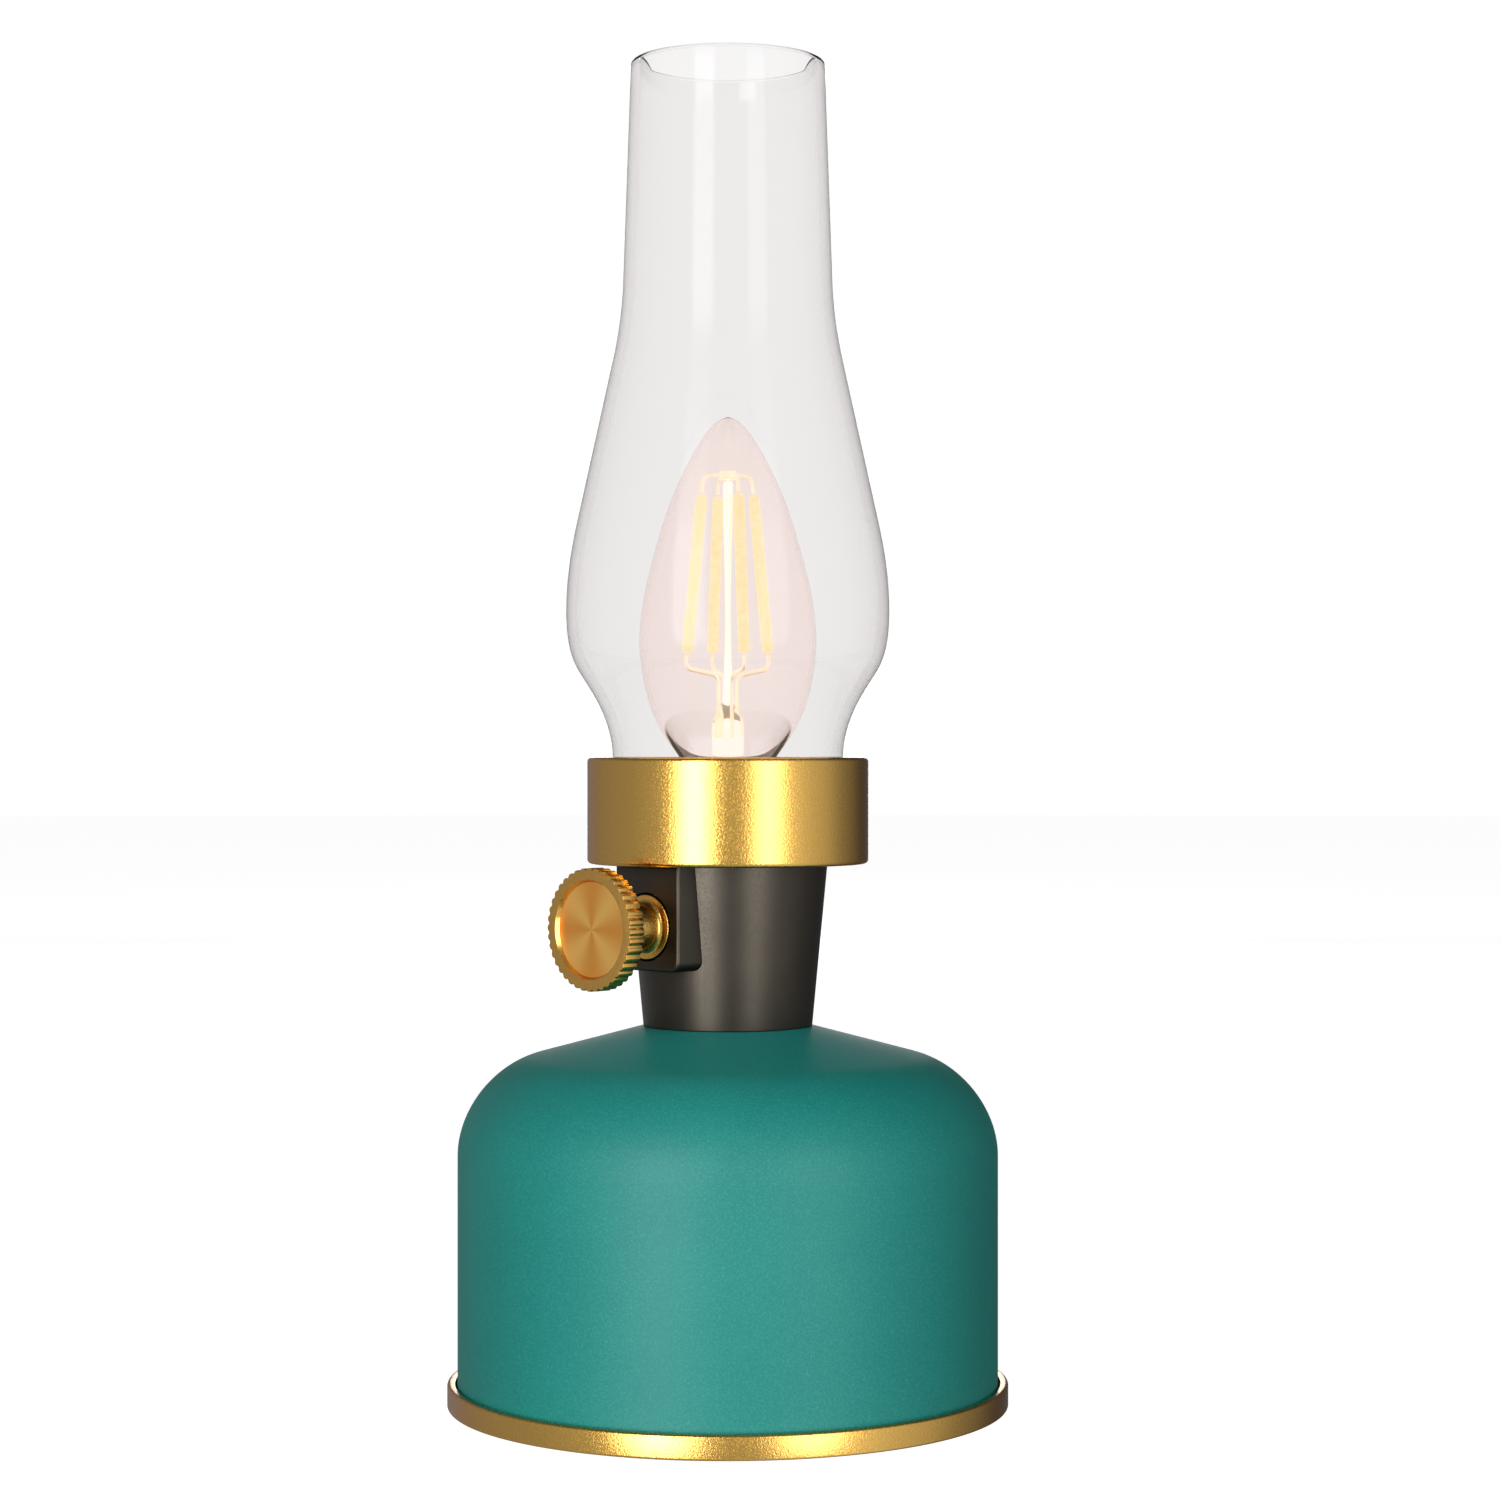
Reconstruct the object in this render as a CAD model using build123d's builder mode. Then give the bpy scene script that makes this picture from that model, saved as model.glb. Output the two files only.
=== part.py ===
from build123d import *
from math import cos, radians, sin, tan
import os

os.makedirs("parts", exist_ok=True)

# A rechargeable table lamp in the form of an old oil lamp. Millimetres, +Z up, the origin at the
# middle of the foot on the table. The dimmer knob points along -Y and the charging port along +Y.

# ---------------------------------------------------------------- clearances
slip = 0.05             # radial gap of a screw thread, a bush or a pin in its hole
ease = 0.3              # gap between neighbours that must not rub
panel_gap = 0.2         # gap round a piece that drops into an opening
skin = 0.02             # gap between pieces that are pressed against each other

# ---------------------------------------------------------------- driving dimensions
# Foot and base
foot_stand = 1.0        # the silicone pad stands this far below the brass ring
foot_groove_radius = 31.0
foot_groove_width = 4.0
foot_groove_depth = 0.5
foot_edge = 0.4

shell_radius = 53.0
shell_wall = 2.0
shell_height = 74.15    # from the underside of the ring to the neck's seat
shoulder_radius = 20.0
cone_slope = 15.0       # degrees below horizontal

ring_radius = shell_radius + 2.0
ring_height = 4.7
ring_flange = 2.0       # thickness of the flange that the shell stands on
ring_flange_inner = shell_radius - 12.0
ring_edge = 0.5         # rounding of the ring's top edges
foot_radius = ring_flange_inner - 0.5

plate_thickness = 2.0
plate_gap = 0.5         # between the base plate's edge and the shell

base_screw_count = 3
base_screw_start = 30.0
base_screw_length = 13.0
post_radius = 4.0
post_height = 16.0
post_bore = 12.0        # depth of the screw's hole in a post
post_embed = 0.6        # how far posts and the port's seat run into the shell's wall

# Fasteners
m3_shank = 1.5
m3_head = 2.8
m3_sink = 1.3           # depth of a 90 degree countersunk head
m2_shank = 1.25         # M2.5
m2_head = 2.25
m2_head_height = 1.5
drive_radius = 0.9      # hexagon drive, across its corners
drive_depth = 0.9
screw_end_gap = 1.0     # space left under a screw's end

# Neck
neck_foot_radius = 16.6
neck_top_radius = 19.6
neck_height = 31.85
neck_wall = 2.0
neck_floor = 2.5
spigot_radius = 9.0
spigot_bore = 6.5
spigot_drop = 10.15     # below the underside of the shell's top
neck_washer_radius = 14.0
neck_washer_thickness = 1.2
neck_nut_height = 4.0
neck_nut_flats = 24.0

# E14 thread and lampholder
thread_pitch = 2.82
thread_offset = 0.4     # how far the round thread swings the tube off its axis
cap_tube_radius = 6.545
cap_wall = 0.3
thread_gap = 0.2        # between the bulb's thread and the holder's
skirt_gap = 0.25        # between the bulb's thread and the plain skirt of the holder's shell
skirt_extra = 0.1       # the skirt's wall is thicker than the thread's
thread_runout = 3.5     # the holder's thread is shorter than the cap's

holder_bore = cap_tube_radius + 1.355
holder_step_bore = holder_bore - 0.8
holder_step_rise = 0.3  # the screw shell's seat above the bulb's cap
holder_radius = holder_bore + 2.1
holder_drop = 19.0      # below the gallery floor's top
holder_rise = 13.0
holder_floor = 4.0
holder_flange_radius = holder_radius + 4.0
holder_flange_thickness = 2.5
holder_screw_ring = holder_radius + 2.0
holder_screw_head = 1.9
holder_screw_head_height = 1.4
holder_screw_length = 7.0
rivet_radius = 1.2

strip_width = 4.0       # the sprung strip under the bulb's contact
strip_thickness = 0.4
strip_foot = 5.5
strip_inner_foot = 4.2
strip_top = 2.2
strip_inner_top = 1.9

holder_terminal_x = 5.5
holder_terminal_y = 3.0
holder_terminal_size = 4.0
holder_terminal_corner = 0.6
holder_terminal_height = 3.0

# Boss that carries the dimmer
boss_width = 17.6
boss_front = holder_radius + 12.05      # so that the dimmer clears the lampholder
boss_drop = 11.7        # the knob's axis below the neck's top
boss_under = 8.5        # the boss's bottom below the knob's axis
boss_corner = 2.1
boss_edge = 0.5
recess_radius = 6.65
recess_depth = 3.0
boss_web = 1.65         # metal between the recess and the dimmer

# Dimmer
shaft_radius = 3.0
shaft_journal = 1.0     # step down to the part that the wiper sits on
shaft_flat = 1.5        # from the shaft's axis
shaft_edge = 0.4
bushing_radius = shaft_radius + 0.5
bushing_length = 3.8
bushing_head = 0.6
wiper_radius = shaft_radius + 0.7
wiper_thickness = 1.0
wiper_gap = 0.55        # between the wafer and the wiper
brush_radius = 0.4
brush_inset = 0.6
brush_reach = 0.35
pot_wall = 0.8
pot_width = 2 * (wiper_radius + pot_wall + 0.4)
pot_height = 11.5
pot_depth = 6.0
pot_edge = 0.6
wafer_thickness = 1.0
track_width = 1.2
track_thickness = 0.15
terminal_pitch = 2.5
terminal_width = 1.1
terminal_thickness = 0.4
terminal_rise = -3.0    # a terminal's head, from the knob's axis
terminal_reach = 3.5    # a terminal's foot below the dimmer's body
washer_thickness = 0.5
washer_gap = 0.6        # between the washer and the recess
dimmer_nut_height = 1.6
dimmer_nut_flats = 2 * bushing_radius + 3.0

# Knob
knob_radius = 11.7
knob_thickness = 3.6
knob_reach = boss_front + 14.95     # from the lamp's axis to the knob's rim
knob_teeth = 40
tooth_cut_radius = 0.5
tooth_cut_depth = 0.35
dish_radius = 9.5
dish_depth = 0.8
face_thickness = 0.6
stem_radius = 4.45
stem_flange_radius = 6.25
stem_flange_thickness = 1.0
stem_cove = 1.2
stem_spigot_radius = 3.4
stem_spigot_length = 1.4
stem_gap = 0.15         # between the dimmer's nut and the knob's stem
shaft_setback = 1.4     # the shaft's end behind the knob's disc
shaft_end_gap = 0.3
flat_start = 1.0        # the shaft's flat in front of the stem's back
grub_reach = boss_front + 5.75      # the grub screw, from the lamp's axis
grub_sink = 0.4

# Glass chimney and the gallery round its foot
fitter_radius = 22.7
fitter_height = 18.3
belly_radius = fitter_radius + 9.1
belly_height = 46.3
belly_foot_inset = 4.5  # two points of the curve from the fitter to the belly
belly_foot_drop = 15.0
belly_side_inset = 1.7
belly_side_drop = 10.3
cheek_inset = 2.0       # where the straight flank starts
cheek_rise = 17.0
throat_radius = fitter_radius - 1.8
throat_height = 103.6
throat_curve = 85.0     # radius of the bend between the flank and the stack
rim_radius = fitter_radius - 3.6
rim_edge = 0.8          # fire-polished edges of the rim
chimney_height = 154.4
chimney_wall = 1.9

gallery_radius = fitter_radius + 4.93
gallery_height = 20.9
gallery_wall = 0.8
gallery_lip = 1.0
gallery_edge = 0.9
lip_gap = 0.7           # between the gallery's lip and the glass
gallery_floor_thickness = 2.0
gallery_floor_gap = 0.13
neck_screw_ring = 16.2
neck_screw_start = 90.0
neck_screw_count = 3
neck_screw_boss = 2.6
neck_screw_boss_length = 10.0
neck_screw_bore = 9.0
neck_screw_length = 8.0

# Seal under the glass
seal_floor = 1.0
seal_rim = 1.1
seal_height = 4.0

# Bulb, C35
bulb_radius = 17.5
bulb_height = 98.0      # from the contact to the tip
contact_drop = 12.4     # the bulb's contact below the gallery floor's top
contact_radius = 2.4
contact_height = 1.6
contact_edge = 0.6
insulator_height = 3.0
insulator_lip = 1.2
cap_thread_length = 15.5
collar_radius = cap_tube_radius + 0.705
collar_height = 5.1
collar_floor = 0.5
cap_end_inset = 0.15    # the cap's closed end inside its thread, so that it follows the thread
cap_eye_radius = cap_tube_radius - 3.045    # hole in the cap's closed end
bulb_neck_radius = collar_radius - 0.75
bulb_neck_rise = 0.7    # the glass's foot above the thread
bulb_belly_share = 0.547    # the widest place, as a share of the bulb's height
bulb_flare = (0.3, 1)
glass_wall = 0.8
stem_skirt_height = 1.5
stem_waist_radius = 3.4
stem_waist_rise = 5.0
stem_press_radius = 3.2
stem_press_run = 5.0
stem_rod_foot = 1.3
stem_rod_radius = 1.1
stem_tip_radius = 0.6
stem_tip_drop = 0.7
stem_top_rise = 0.1

filament_count = 4
filament_radius = 1.1
filament_length = 32.0
filament_top_ring = 5.47
filament_bottom_ring = 8.6
filament_turn = -23.3   # azimuth of the first stick
filament_base = 51.0    # the sticks' feet above the bulb's contact
filament_edge = 0.495
link_rise = 3.1
link_drop = 2.3
wire_radius = 0.35      # support wires in the bulb
lead_in_ring = 2.0      # where the support wires enter the glass stem
lead_in_depth = 8.0
lead_in_end_gap = 0.5
link_crown = 0.6        # how far the top link rises to the hub
link_bend = 1.6
link_foot_bend = 1.2
link_fall = 1.0
hub_radius = 1.6
hub_bore = 0.7
hub_height = 1.6
hub_drop = 0.5

# Electronics
board_width = 36.0
board_depth = 28.5
board_thickness = 1.6
board_rise = 6.0        # above the base plate
board_back = shell_radius - 8.5     # the rear edge, from the lamp's axis
board_corner = 3.0
tongue_width = 14.0
tongue_length = 8.0
tongue_reach = shell_radius - 5.0
standoff_radius = 2.5
standoff_inset_x = 3.5
standoff_inset_y = 4.0
socket_width = 8.94
socket_height = 3.26
socket_depth = 7.3
socket_shell = 0.35
socket_back = 1.0
socket_tongue_width = 6.74
socket_tongue_height = 0.7
socket_tongue_setback = 0.6
bezel_width = 16.0
bezel_height = 10.0
bezel_recess_width = 12.6
bezel_recess_height = 7.0
bezel_recess_corner = 1.5
bezel_flange_width = 20.0
bezel_flange_height = 13.0
bezel_flange_thickness = 1.5
bezel_flange_corner = 1.5
bezel_inset = 0.15      # the bezel's face below the shell's surface
port_pad_margin = 1.5
port_pad_face = shell_radius - shell_wall - 1.1     # flat seat inside the shell
port_floor = shell_radius - 2.4     # floor of the recess round the socket

header_inset = 5.0
header_pitch = 8.2
header_width = 7.0
header_depth = 4.4
header_height = 5.0
header_count = 3
chip_height = 1.1
chip_row = 2.0          # the chips' row behind the board's middle
charger_chip_x = -6.0
charger_chip = 5.0
driver_chip_x = 3.0
driver_chip_shift = 1.0
driver_chip_width = 4.0
driver_chip_depth = 5.0
small_chip_x = -5.0
small_chip_shift = 7.0
small_chip_width = 4.0
small_chip_depth = 2.0
inductor_x = 11.5
inductor_size = 7.0
inductor_corner = 1.5
inductor_height = 4.0
inductor_edge = 0.6
capacitor_x = -13.5
capacitor_shift = 1.5
capacitor_pitch = 6.0
capacitor_radius = 2.5
capacitor_height = 6.0
capacitor_edge = 0.5

cell_radius = 9.2
cell_length = 65.0
cell_edge = 0.8
cell_pitch = 2 * cell_radius + 3.6
cell_y = -21.0          # the first cell's axis
cradle_floor = 1.9
cradle_wall = 2.2
cradle_drop = 1.84      # the cradle's top below the cells' axes
cradle_corner = 2.0
cradle_hole_x = 18.0
cradle_screw_setback = 0.4
tab_thickness = 0.3
tab_play = 0.05
tab_width = 7.0
tab_rise = 7.0
tab_drop = 5.0
bus_height = 5.0
bus_rise = 3.0
strap_thickness = 0.8
strap_width = 12.0

# Leads
lead_radius = 0.6
lead_bend = 5.0
lead_neck_bend = 4.0
lead_end_bend = 3.0
lead_fine_bend = 2.0
lead_below_spigot = 2.0     # where a lead straightens up before the neck's spigot
lead_above_shell = 5.0      # and where it leaves the spigot's bore
lamp_lead_x = 1.2
lamp_lead_shift = -1.8
lamp_lead_y = 2.5
lamp_lead_rise = 22.0
lamp_lead_end = 4.5
dimmer_lead_pitch = 2.0
dimmer_lead_neck_pitch = 1.6
dimmer_lead_shift = 2.9
dimmer_lead_y = -2.5
dimmer_lead_rise = 27.0
dimmer_lead_end = 3.0
dimmer_lead_grip = 1.5
dimmer_lead_stand = 0.85
battery_lead_pitch = 2.4
battery_lead_rise = 4.0
battery_lead_step = 3.0
battery_lead_grip = 2.0
battery_lead_bend = 2.5

# ---------------------------------------------------------------- levels and places
z_ring = foot_stand
z_flange = z_ring + ring_flange
z_plate = z_flange + plate_thickness
z_shell = z_ring + shell_height
z_shell_roof = z_shell - shell_wall
z_neck = z_shell + neck_height
z_knob = z_neck - boss_drop
z_floor = z_neck + gallery_floor_thickness
z_band = z_neck + gallery_height
z_glass = z_floor + seal_floor + panel_gap
z_spigot = z_shell_roof - spigot_drop
z_holder = z_floor - holder_drop
z_holder_top = z_floor + holder_rise
z_holder_inside = z_holder + holder_floor
z_contact = z_floor - contact_drop
z_cap = z_contact + contact_height - panel_gap + insulator_height
z_cap_top = z_cap + cap_thread_length
z_collar = z_cap_top + collar_height
z_tip = z_contact + bulb_height
z_thread = z_cap + thread_pitch     # a whole pitch up, so that both threads stay in step
z_holder_step = z_cap + holder_step_rise
z_board = z_plate + board_rise
z_board_top = z_board + board_thickness
z_port = z_board_top + socket_height / 2
z_cell = z_plate + cradle_floor + cell_radius + panel_gap
z_cradle = z_cell - cradle_drop
z_header = z_board_top + header_height

inner_radius = shell_radius - shell_wall
post_ring = inner_radius - post_radius + post_embed
plate_radius = inner_radius - plate_gap
seal_outer = fitter_radius + ease + seal_rim
seal_inner = fitter_radius - chimney_wall - ease - seal_rim
lip_radius = fitter_radius + lip_gap
band_inner = gallery_radius - gallery_wall
pot_face = boss_front - recess_depth - boss_web     # the dimmer's front face, from the axis
pot_back = pot_face - pot_depth
recess_floor = boss_front - recess_depth
knob_back = knob_reach - knob_thickness
stem_back = recess_floor + washer_thickness + dimmer_nut_height + stem_gap
shaft_end = knob_back - shaft_setback
board_y = board_back - board_depth / 2
standoff_x = board_width / 2 - standoff_inset_x
standoff_y = board_depth / 2 - standoff_inset_y
header_y = board_y - board_depth / 2 + header_inset
chip_y = board_y + chip_row
cell_half = cell_length / 2
cradle_pocket = cell_half + tab_thickness + tab_play
cradle_mid_y = cell_y + cell_pitch / 2

knob_plane = Plane(origin=(0, 0, z_knob), x_dir=(1, 0, 0), z_dir=(0, -1, 0))


def knob_level(distance):
    """A plane square to the knob's axis, this far from the lamp's axis."""
    return knob_plane.offset(distance)


def leftward(along):
    """The unit step to the left of this direction in an outline."""
    return Vector(-along.Y, along.X)


def inner_face(curve, wall, count):
    """Points on the inner face of a wall whose outer face is this curve."""
    shares = [step / (count - 1) for step in range(count)]
    return [curve @ share + leftward(curve % share) * wall for share in shares]


# ---------------------------------------------------------------- foot and base
with BuildPart() as foot_pad:
    with BuildSketch():
        Circle(foot_radius)
    extrude(amount=z_flange)
    with BuildSketch():
        Circle(foot_groove_radius + foot_groove_width / 2)
        Circle(foot_groove_radius - foot_groove_width / 2, mode=Mode.SUBTRACT)
    extrude(amount=foot_groove_depth, mode=Mode.SUBTRACT)
    chamfer(foot_pad.edges().group_by(Axis.Z)[0].sort_by(SortBy.RADIUS)[-1], foot_edge)
foot_pad.part.label = "foot_pad"
export_step(foot_pad.part, "parts/foot_pad.step")

with BuildPart() as base_ring:
    with BuildSketch(Plane.XY.offset(z_ring)):
        Circle(ring_radius)
        Circle(ring_flange_inner, mode=Mode.SUBTRACT)
    extrude(amount=ring_height)
    with BuildSketch(Plane.XY.offset(z_flange)):
        Circle(shell_radius + ease)
    extrude(amount=ring_height, mode=Mode.SUBTRACT)
    fillet(base_ring.edges().group_by(Axis.Z)[-1], ring_edge)
    with BuildSketch(Plane.XY.offset(z_ring)):
        with PolarLocations(post_ring, base_screw_count, start_angle=base_screw_start):
            Circle(m3_head + slip)
    extrude(amount=m3_sink, taper=45, mode=Mode.SUBTRACT)
    with BuildSketch(Plane.XY.offset(z_ring)):
        with PolarLocations(post_ring, base_screw_count, start_angle=base_screw_start):
            Circle(m3_shank + slip)
    extrude(amount=ring_flange, mode=Mode.SUBTRACT)
base_ring.part.label = "base_ring"
export_step(base_ring.part, "parts/base_ring.step")

with BuildPart() as base_plate:
    with BuildSketch(Plane.XY.offset(z_flange)):
        Circle(plate_radius)
        with PolarLocations(post_ring, base_screw_count, start_angle=base_screw_start):
            Circle(m3_shank + slip, mode=Mode.SUBTRACT)
    extrude(amount=plate_thickness)
    with BuildSketch(Plane.XY.offset(z_plate)):
        with Locations((0, board_y)):
            with GridLocations(2 * standoff_x, 2 * standoff_y, 2, 2):
                Circle(standoff_radius)
    extrude(amount=board_rise)
    with BuildSketch(Plane.XY.offset(z_plate)):
        with Locations((0, board_y)):
            with GridLocations(2 * standoff_x, 2 * standoff_y, 2, 2):
                Circle(m2_shank + slip)
    extrude(amount=board_rise, mode=Mode.SUBTRACT)
    with BuildSketch(Plane.XY.offset(z_flange)):
        with Locations((0, cradle_mid_y)):
            with GridLocations(2 * cradle_hole_x, 1, 2, 1):
                Circle(m2_shank + slip)
    extrude(amount=plate_thickness, mode=Mode.SUBTRACT)
base_plate.part.label = "base_plate"
export_step(base_plate.part, "parts/base_plate.step")

with BuildPart() as base_screws:
    with BuildSketch(Plane.XY.offset(z_ring)):
        with PolarLocations(post_ring, base_screw_count, start_angle=base_screw_start):
            Circle(m3_head)
    extrude(amount=m3_sink, taper=45)
    with BuildSketch(Plane.XY.offset(z_ring)):
        with PolarLocations(post_ring, base_screw_count, start_angle=base_screw_start):
            Circle(m3_shank)
    extrude(amount=base_screw_length)
    with BuildSketch(Plane.XY.offset(z_ring)):
        with PolarLocations(post_ring, base_screw_count, start_angle=base_screw_start):
            RegularPolygon(drive_radius, 6)
    extrude(amount=drive_depth, mode=Mode.SUBTRACT)
base_screws.part.label = "base_screws"
export_step(base_screws.part, "parts/base_screws.step")

slope = tan(radians(cone_slope))
corner_z = z_shell - (shell_radius - neck_foot_radius) * slope
inner_corner_z = corner_z + shell_wall * slope - shell_wall / cos(radians(cone_slope))
roof_radius = inner_radius - (z_shell_roof - inner_corner_z) / slope

with BuildPart() as base_shell:
    with BuildSketch(Plane.XZ):
        with BuildLine():
            FilletPolyline(
                (shell_radius, z_flange), (shell_radius, corner_z), (neck_foot_radius, z_shell),
                radius=shoulder_radius,
            )
            Polyline(
                (neck_foot_radius, z_shell), (spigot_radius + panel_gap, z_shell),
                (spigot_radius + panel_gap, z_shell_roof), (roof_radius, z_shell_roof),
            )
            FilletPolyline(
                (roof_radius, z_shell_roof), (inner_radius, inner_corner_z), (inner_radius, z_flange),
                radius=shoulder_radius - shell_wall,
            )
            Line((inner_radius, z_flange), (shell_radius, z_flange))
        make_face()
    revolve(axis=Axis.Z)
    with BuildSketch(Plane.XY.offset(z_plate)):
        with PolarLocations(post_ring, base_screw_count, start_angle=base_screw_start):
            Circle(post_radius)
    extrude(amount=post_height)
    with BuildSketch(Plane.XY.offset(z_plate)):
        with PolarLocations(post_ring, base_screw_count, start_angle=base_screw_start):
            Circle(m3_shank + slip)
    extrude(amount=post_bore, mode=Mode.SUBTRACT)
    with BuildSketch(Plane.XZ.offset(-port_pad_face)):
        with Locations((0, z_port)):
            Rectangle(
                bezel_flange_width + 2 * port_pad_margin, bezel_flange_height + 2 * port_pad_margin,
            )
    extrude(amount=port_pad_face - inner_radius - post_embed)
    with BuildSketch(Plane.XZ.offset(-port_pad_face)):
        with Locations((0, z_port)):
            SlotOverall(bezel_width, bezel_height)
    extrude(amount=port_pad_face - ring_radius, mode=Mode.SUBTRACT)
base_shell.part.label = "base_shell"
export_step(base_shell.part, "parts/base_shell.step")

# ---------------------------------------------------------------- charging port and board
with BuildPart() as charge_port_bezel:
    with BuildSketch(Plane.XZ.offset(-port_pad_face)):
        with Locations((0, z_port)):
            SlotOverall(bezel_width - 2 * panel_gap, bezel_height - 2 * panel_gap)
    extrude(amount=port_pad_face - ring_radius)
    with BuildSketch():
        Circle(shell_radius - bezel_inset)
    extrude(amount=z_shell, mode=Mode.INTERSECT)
    with BuildSketch(Plane.XZ.offset(-port_pad_face)):
        with Locations((0, z_port)):
            RectangleRounded(bezel_flange_width, bezel_flange_height, bezel_flange_corner)
    extrude(amount=bezel_flange_thickness)
    with BuildSketch(Plane.XZ.offset(-port_floor)):
        with Locations((0, z_port)):
            RectangleRounded(bezel_recess_width, bezel_recess_height, bezel_recess_corner)
    extrude(amount=port_floor - ring_radius, mode=Mode.SUBTRACT)
    with BuildSketch(Plane.XZ.offset(-port_floor)):
        with Locations((0, z_port)):
            SlotOverall(socket_width + 2 * panel_gap, socket_height + 2 * panel_gap)
    extrude(amount=port_floor, mode=Mode.SUBTRACT)
charge_port_bezel.part.label = "charge_port_bezel"
export_step(charge_port_bezel.part, "parts/charge_port_bezel.step")

with BuildPart() as usb_c_socket:
    with BuildSketch(Plane.XZ.offset(-port_floor)):
        with Locations((0, z_port)):
            SlotOverall(socket_width, socket_height)
    extrude(amount=socket_depth)
    with BuildSketch(Plane.XZ.offset(-port_floor)):
        with Locations((0, z_port)):
            SlotOverall(socket_width - 2 * socket_shell, socket_height - 2 * socket_shell)
    extrude(amount=socket_depth - socket_back, mode=Mode.SUBTRACT)
    with BuildSketch(Plane.XZ.offset(-port_floor + socket_depth)):
        with Locations((0, z_port)):
            Rectangle(socket_tongue_width, socket_tongue_height)
    extrude(amount=socket_tongue_setback - socket_depth)
usb_c_socket.part.label = "usb_c_socket"
export_step(usb_c_socket.part, "parts/usb_c_socket.step")

with BuildPart() as charge_board:
    with BuildSketch(Plane.XY.offset(z_board)):
        with Locations((0, board_y)):
            RectangleRounded(board_width, board_depth, board_corner)
        with Locations((0, tongue_reach - tongue_length / 2)):
            Rectangle(tongue_width, tongue_length)
        with Locations((0, board_y)):
            with GridLocations(2 * standoff_x, 2 * standoff_y, 2, 2):
                Circle(m2_shank + slip, mode=Mode.SUBTRACT)
    extrude(amount=board_thickness)
charge_board.part.label = "charge_board"
export_step(charge_board.part, "parts/charge_board.step")

with BuildPart() as board_screws:
    with BuildSketch(Plane.XY.offset(z_board_top)):
        with Locations((0, board_y)):
            with GridLocations(2 * standoff_x, 2 * standoff_y, 2, 2):
                Circle(m2_head)
    extrude(amount=m2_head_height)
    with BuildSketch(Plane.XY.offset(z_board_top)):
        with Locations((0, board_y)):
            with GridLocations(2 * standoff_x, 2 * standoff_y, 2, 2):
                Circle(m2_shank)
    extrude(amount=screw_end_gap - board_rise - board_thickness)
board_screws.part.label = "board_screws"
export_step(board_screws.part, "parts/board_screws.step")

with BuildPart() as board_headers:
    with BuildSketch(Plane.XY.offset(z_board_top)):
        with Locations((0, header_y)):
            with GridLocations(header_pitch, 1, header_count, 1):
                Rectangle(header_width, header_depth)
    extrude(amount=header_height)
board_headers.part.label = "board_headers"
export_step(board_headers.part, "parts/board_headers.step")

with BuildPart() as board_chips:
    with BuildSketch(Plane.XY.offset(z_board_top)):
        with Locations((charger_chip_x, chip_y)):
            Rectangle(charger_chip, charger_chip)
        with Locations((driver_chip_x, chip_y - driver_chip_shift)):
            Rectangle(driver_chip_width, driver_chip_depth)
        with Locations((driver_chip_x, chip_y + small_chip_shift), (small_chip_x, chip_y + small_chip_shift)):
            Rectangle(small_chip_width, small_chip_depth)
    extrude(amount=chip_height)
board_chips.part.label = "board_chips"
export_step(board_chips.part, "parts/board_chips.step")

with BuildPart() as board_inductor:
    with BuildSketch(Plane.XY.offset(z_board_top)):
        with Locations((inductor_x, chip_y)):
            RectangleRounded(inductor_size, inductor_size, inductor_corner)
    extrude(amount=inductor_height)
    chamfer(board_inductor.edges().group_by(Axis.Z)[-1], inductor_edge)
board_inductor.part.label = "board_inductor"
export_step(board_inductor.part, "parts/board_inductor.step")

with BuildPart() as board_capacitors:
    with BuildSketch(Plane.XY.offset(z_board_top)):
        with Locations((capacitor_x, chip_y - capacitor_shift)):
            with GridLocations(1, capacitor_pitch, 1, 2):
                Circle(capacitor_radius)
    extrude(amount=capacitor_height)
    fillet(board_capacitors.edges().group_by(Axis.Z)[-1], capacitor_edge)
board_capacitors.part.label = "board_capacitors"
export_step(board_capacitors.part, "parts/board_capacitors.step")

# ---------------------------------------------------------------- battery
cell_plane = Plane(origin=(0, 0, z_cell), x_dir=(0, 1, 0), z_dir=(1, 0, 0))

with BuildPart() as battery_cells:
    with BuildSketch(cell_plane.offset(-cell_half)):
        with Locations((cell_y, 0), (cell_y + cell_pitch, 0)):
            Circle(cell_radius)
    extrude(amount=cell_length)
    fillet(battery_cells.edges().filter_by(GeomType.CIRCLE), cell_edge)
battery_cells.part.label = "battery_cells"
export_step(battery_cells.part, "parts/battery_cells.step")

with BuildPart() as battery_cradle:
    with BuildSketch(Plane.XY.offset(z_plate)):
        with Locations((0, cradle_mid_y)):
            RectangleRounded(
                2 * (cradle_pocket + cradle_wall), cell_pitch + 2 * (cell_radius + cradle_wall), cradle_corner,
            )
    extrude(amount=z_cradle - z_plate)
    with BuildSketch(cell_plane.offset(-cradle_pocket)):
        with Locations((cell_y, 0), (cell_y + cell_pitch, 0)):
            Circle(cell_radius + panel_gap)
    extrude(amount=2 * cradle_pocket, mode=Mode.SUBTRACT)
    with BuildSketch(Plane.XY.offset(z_plate)):
        with Locations((0, cradle_mid_y)):
            with GridLocations(2 * cradle_hole_x, 1, 2, 1):
                Circle(m2_shank + slip)
    extrude(amount=z_cradle - z_plate, mode=Mode.SUBTRACT)
battery_cradle.part.label = "battery_cradle"
export_step(battery_cradle.part, "parts/battery_cradle.step")

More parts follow.
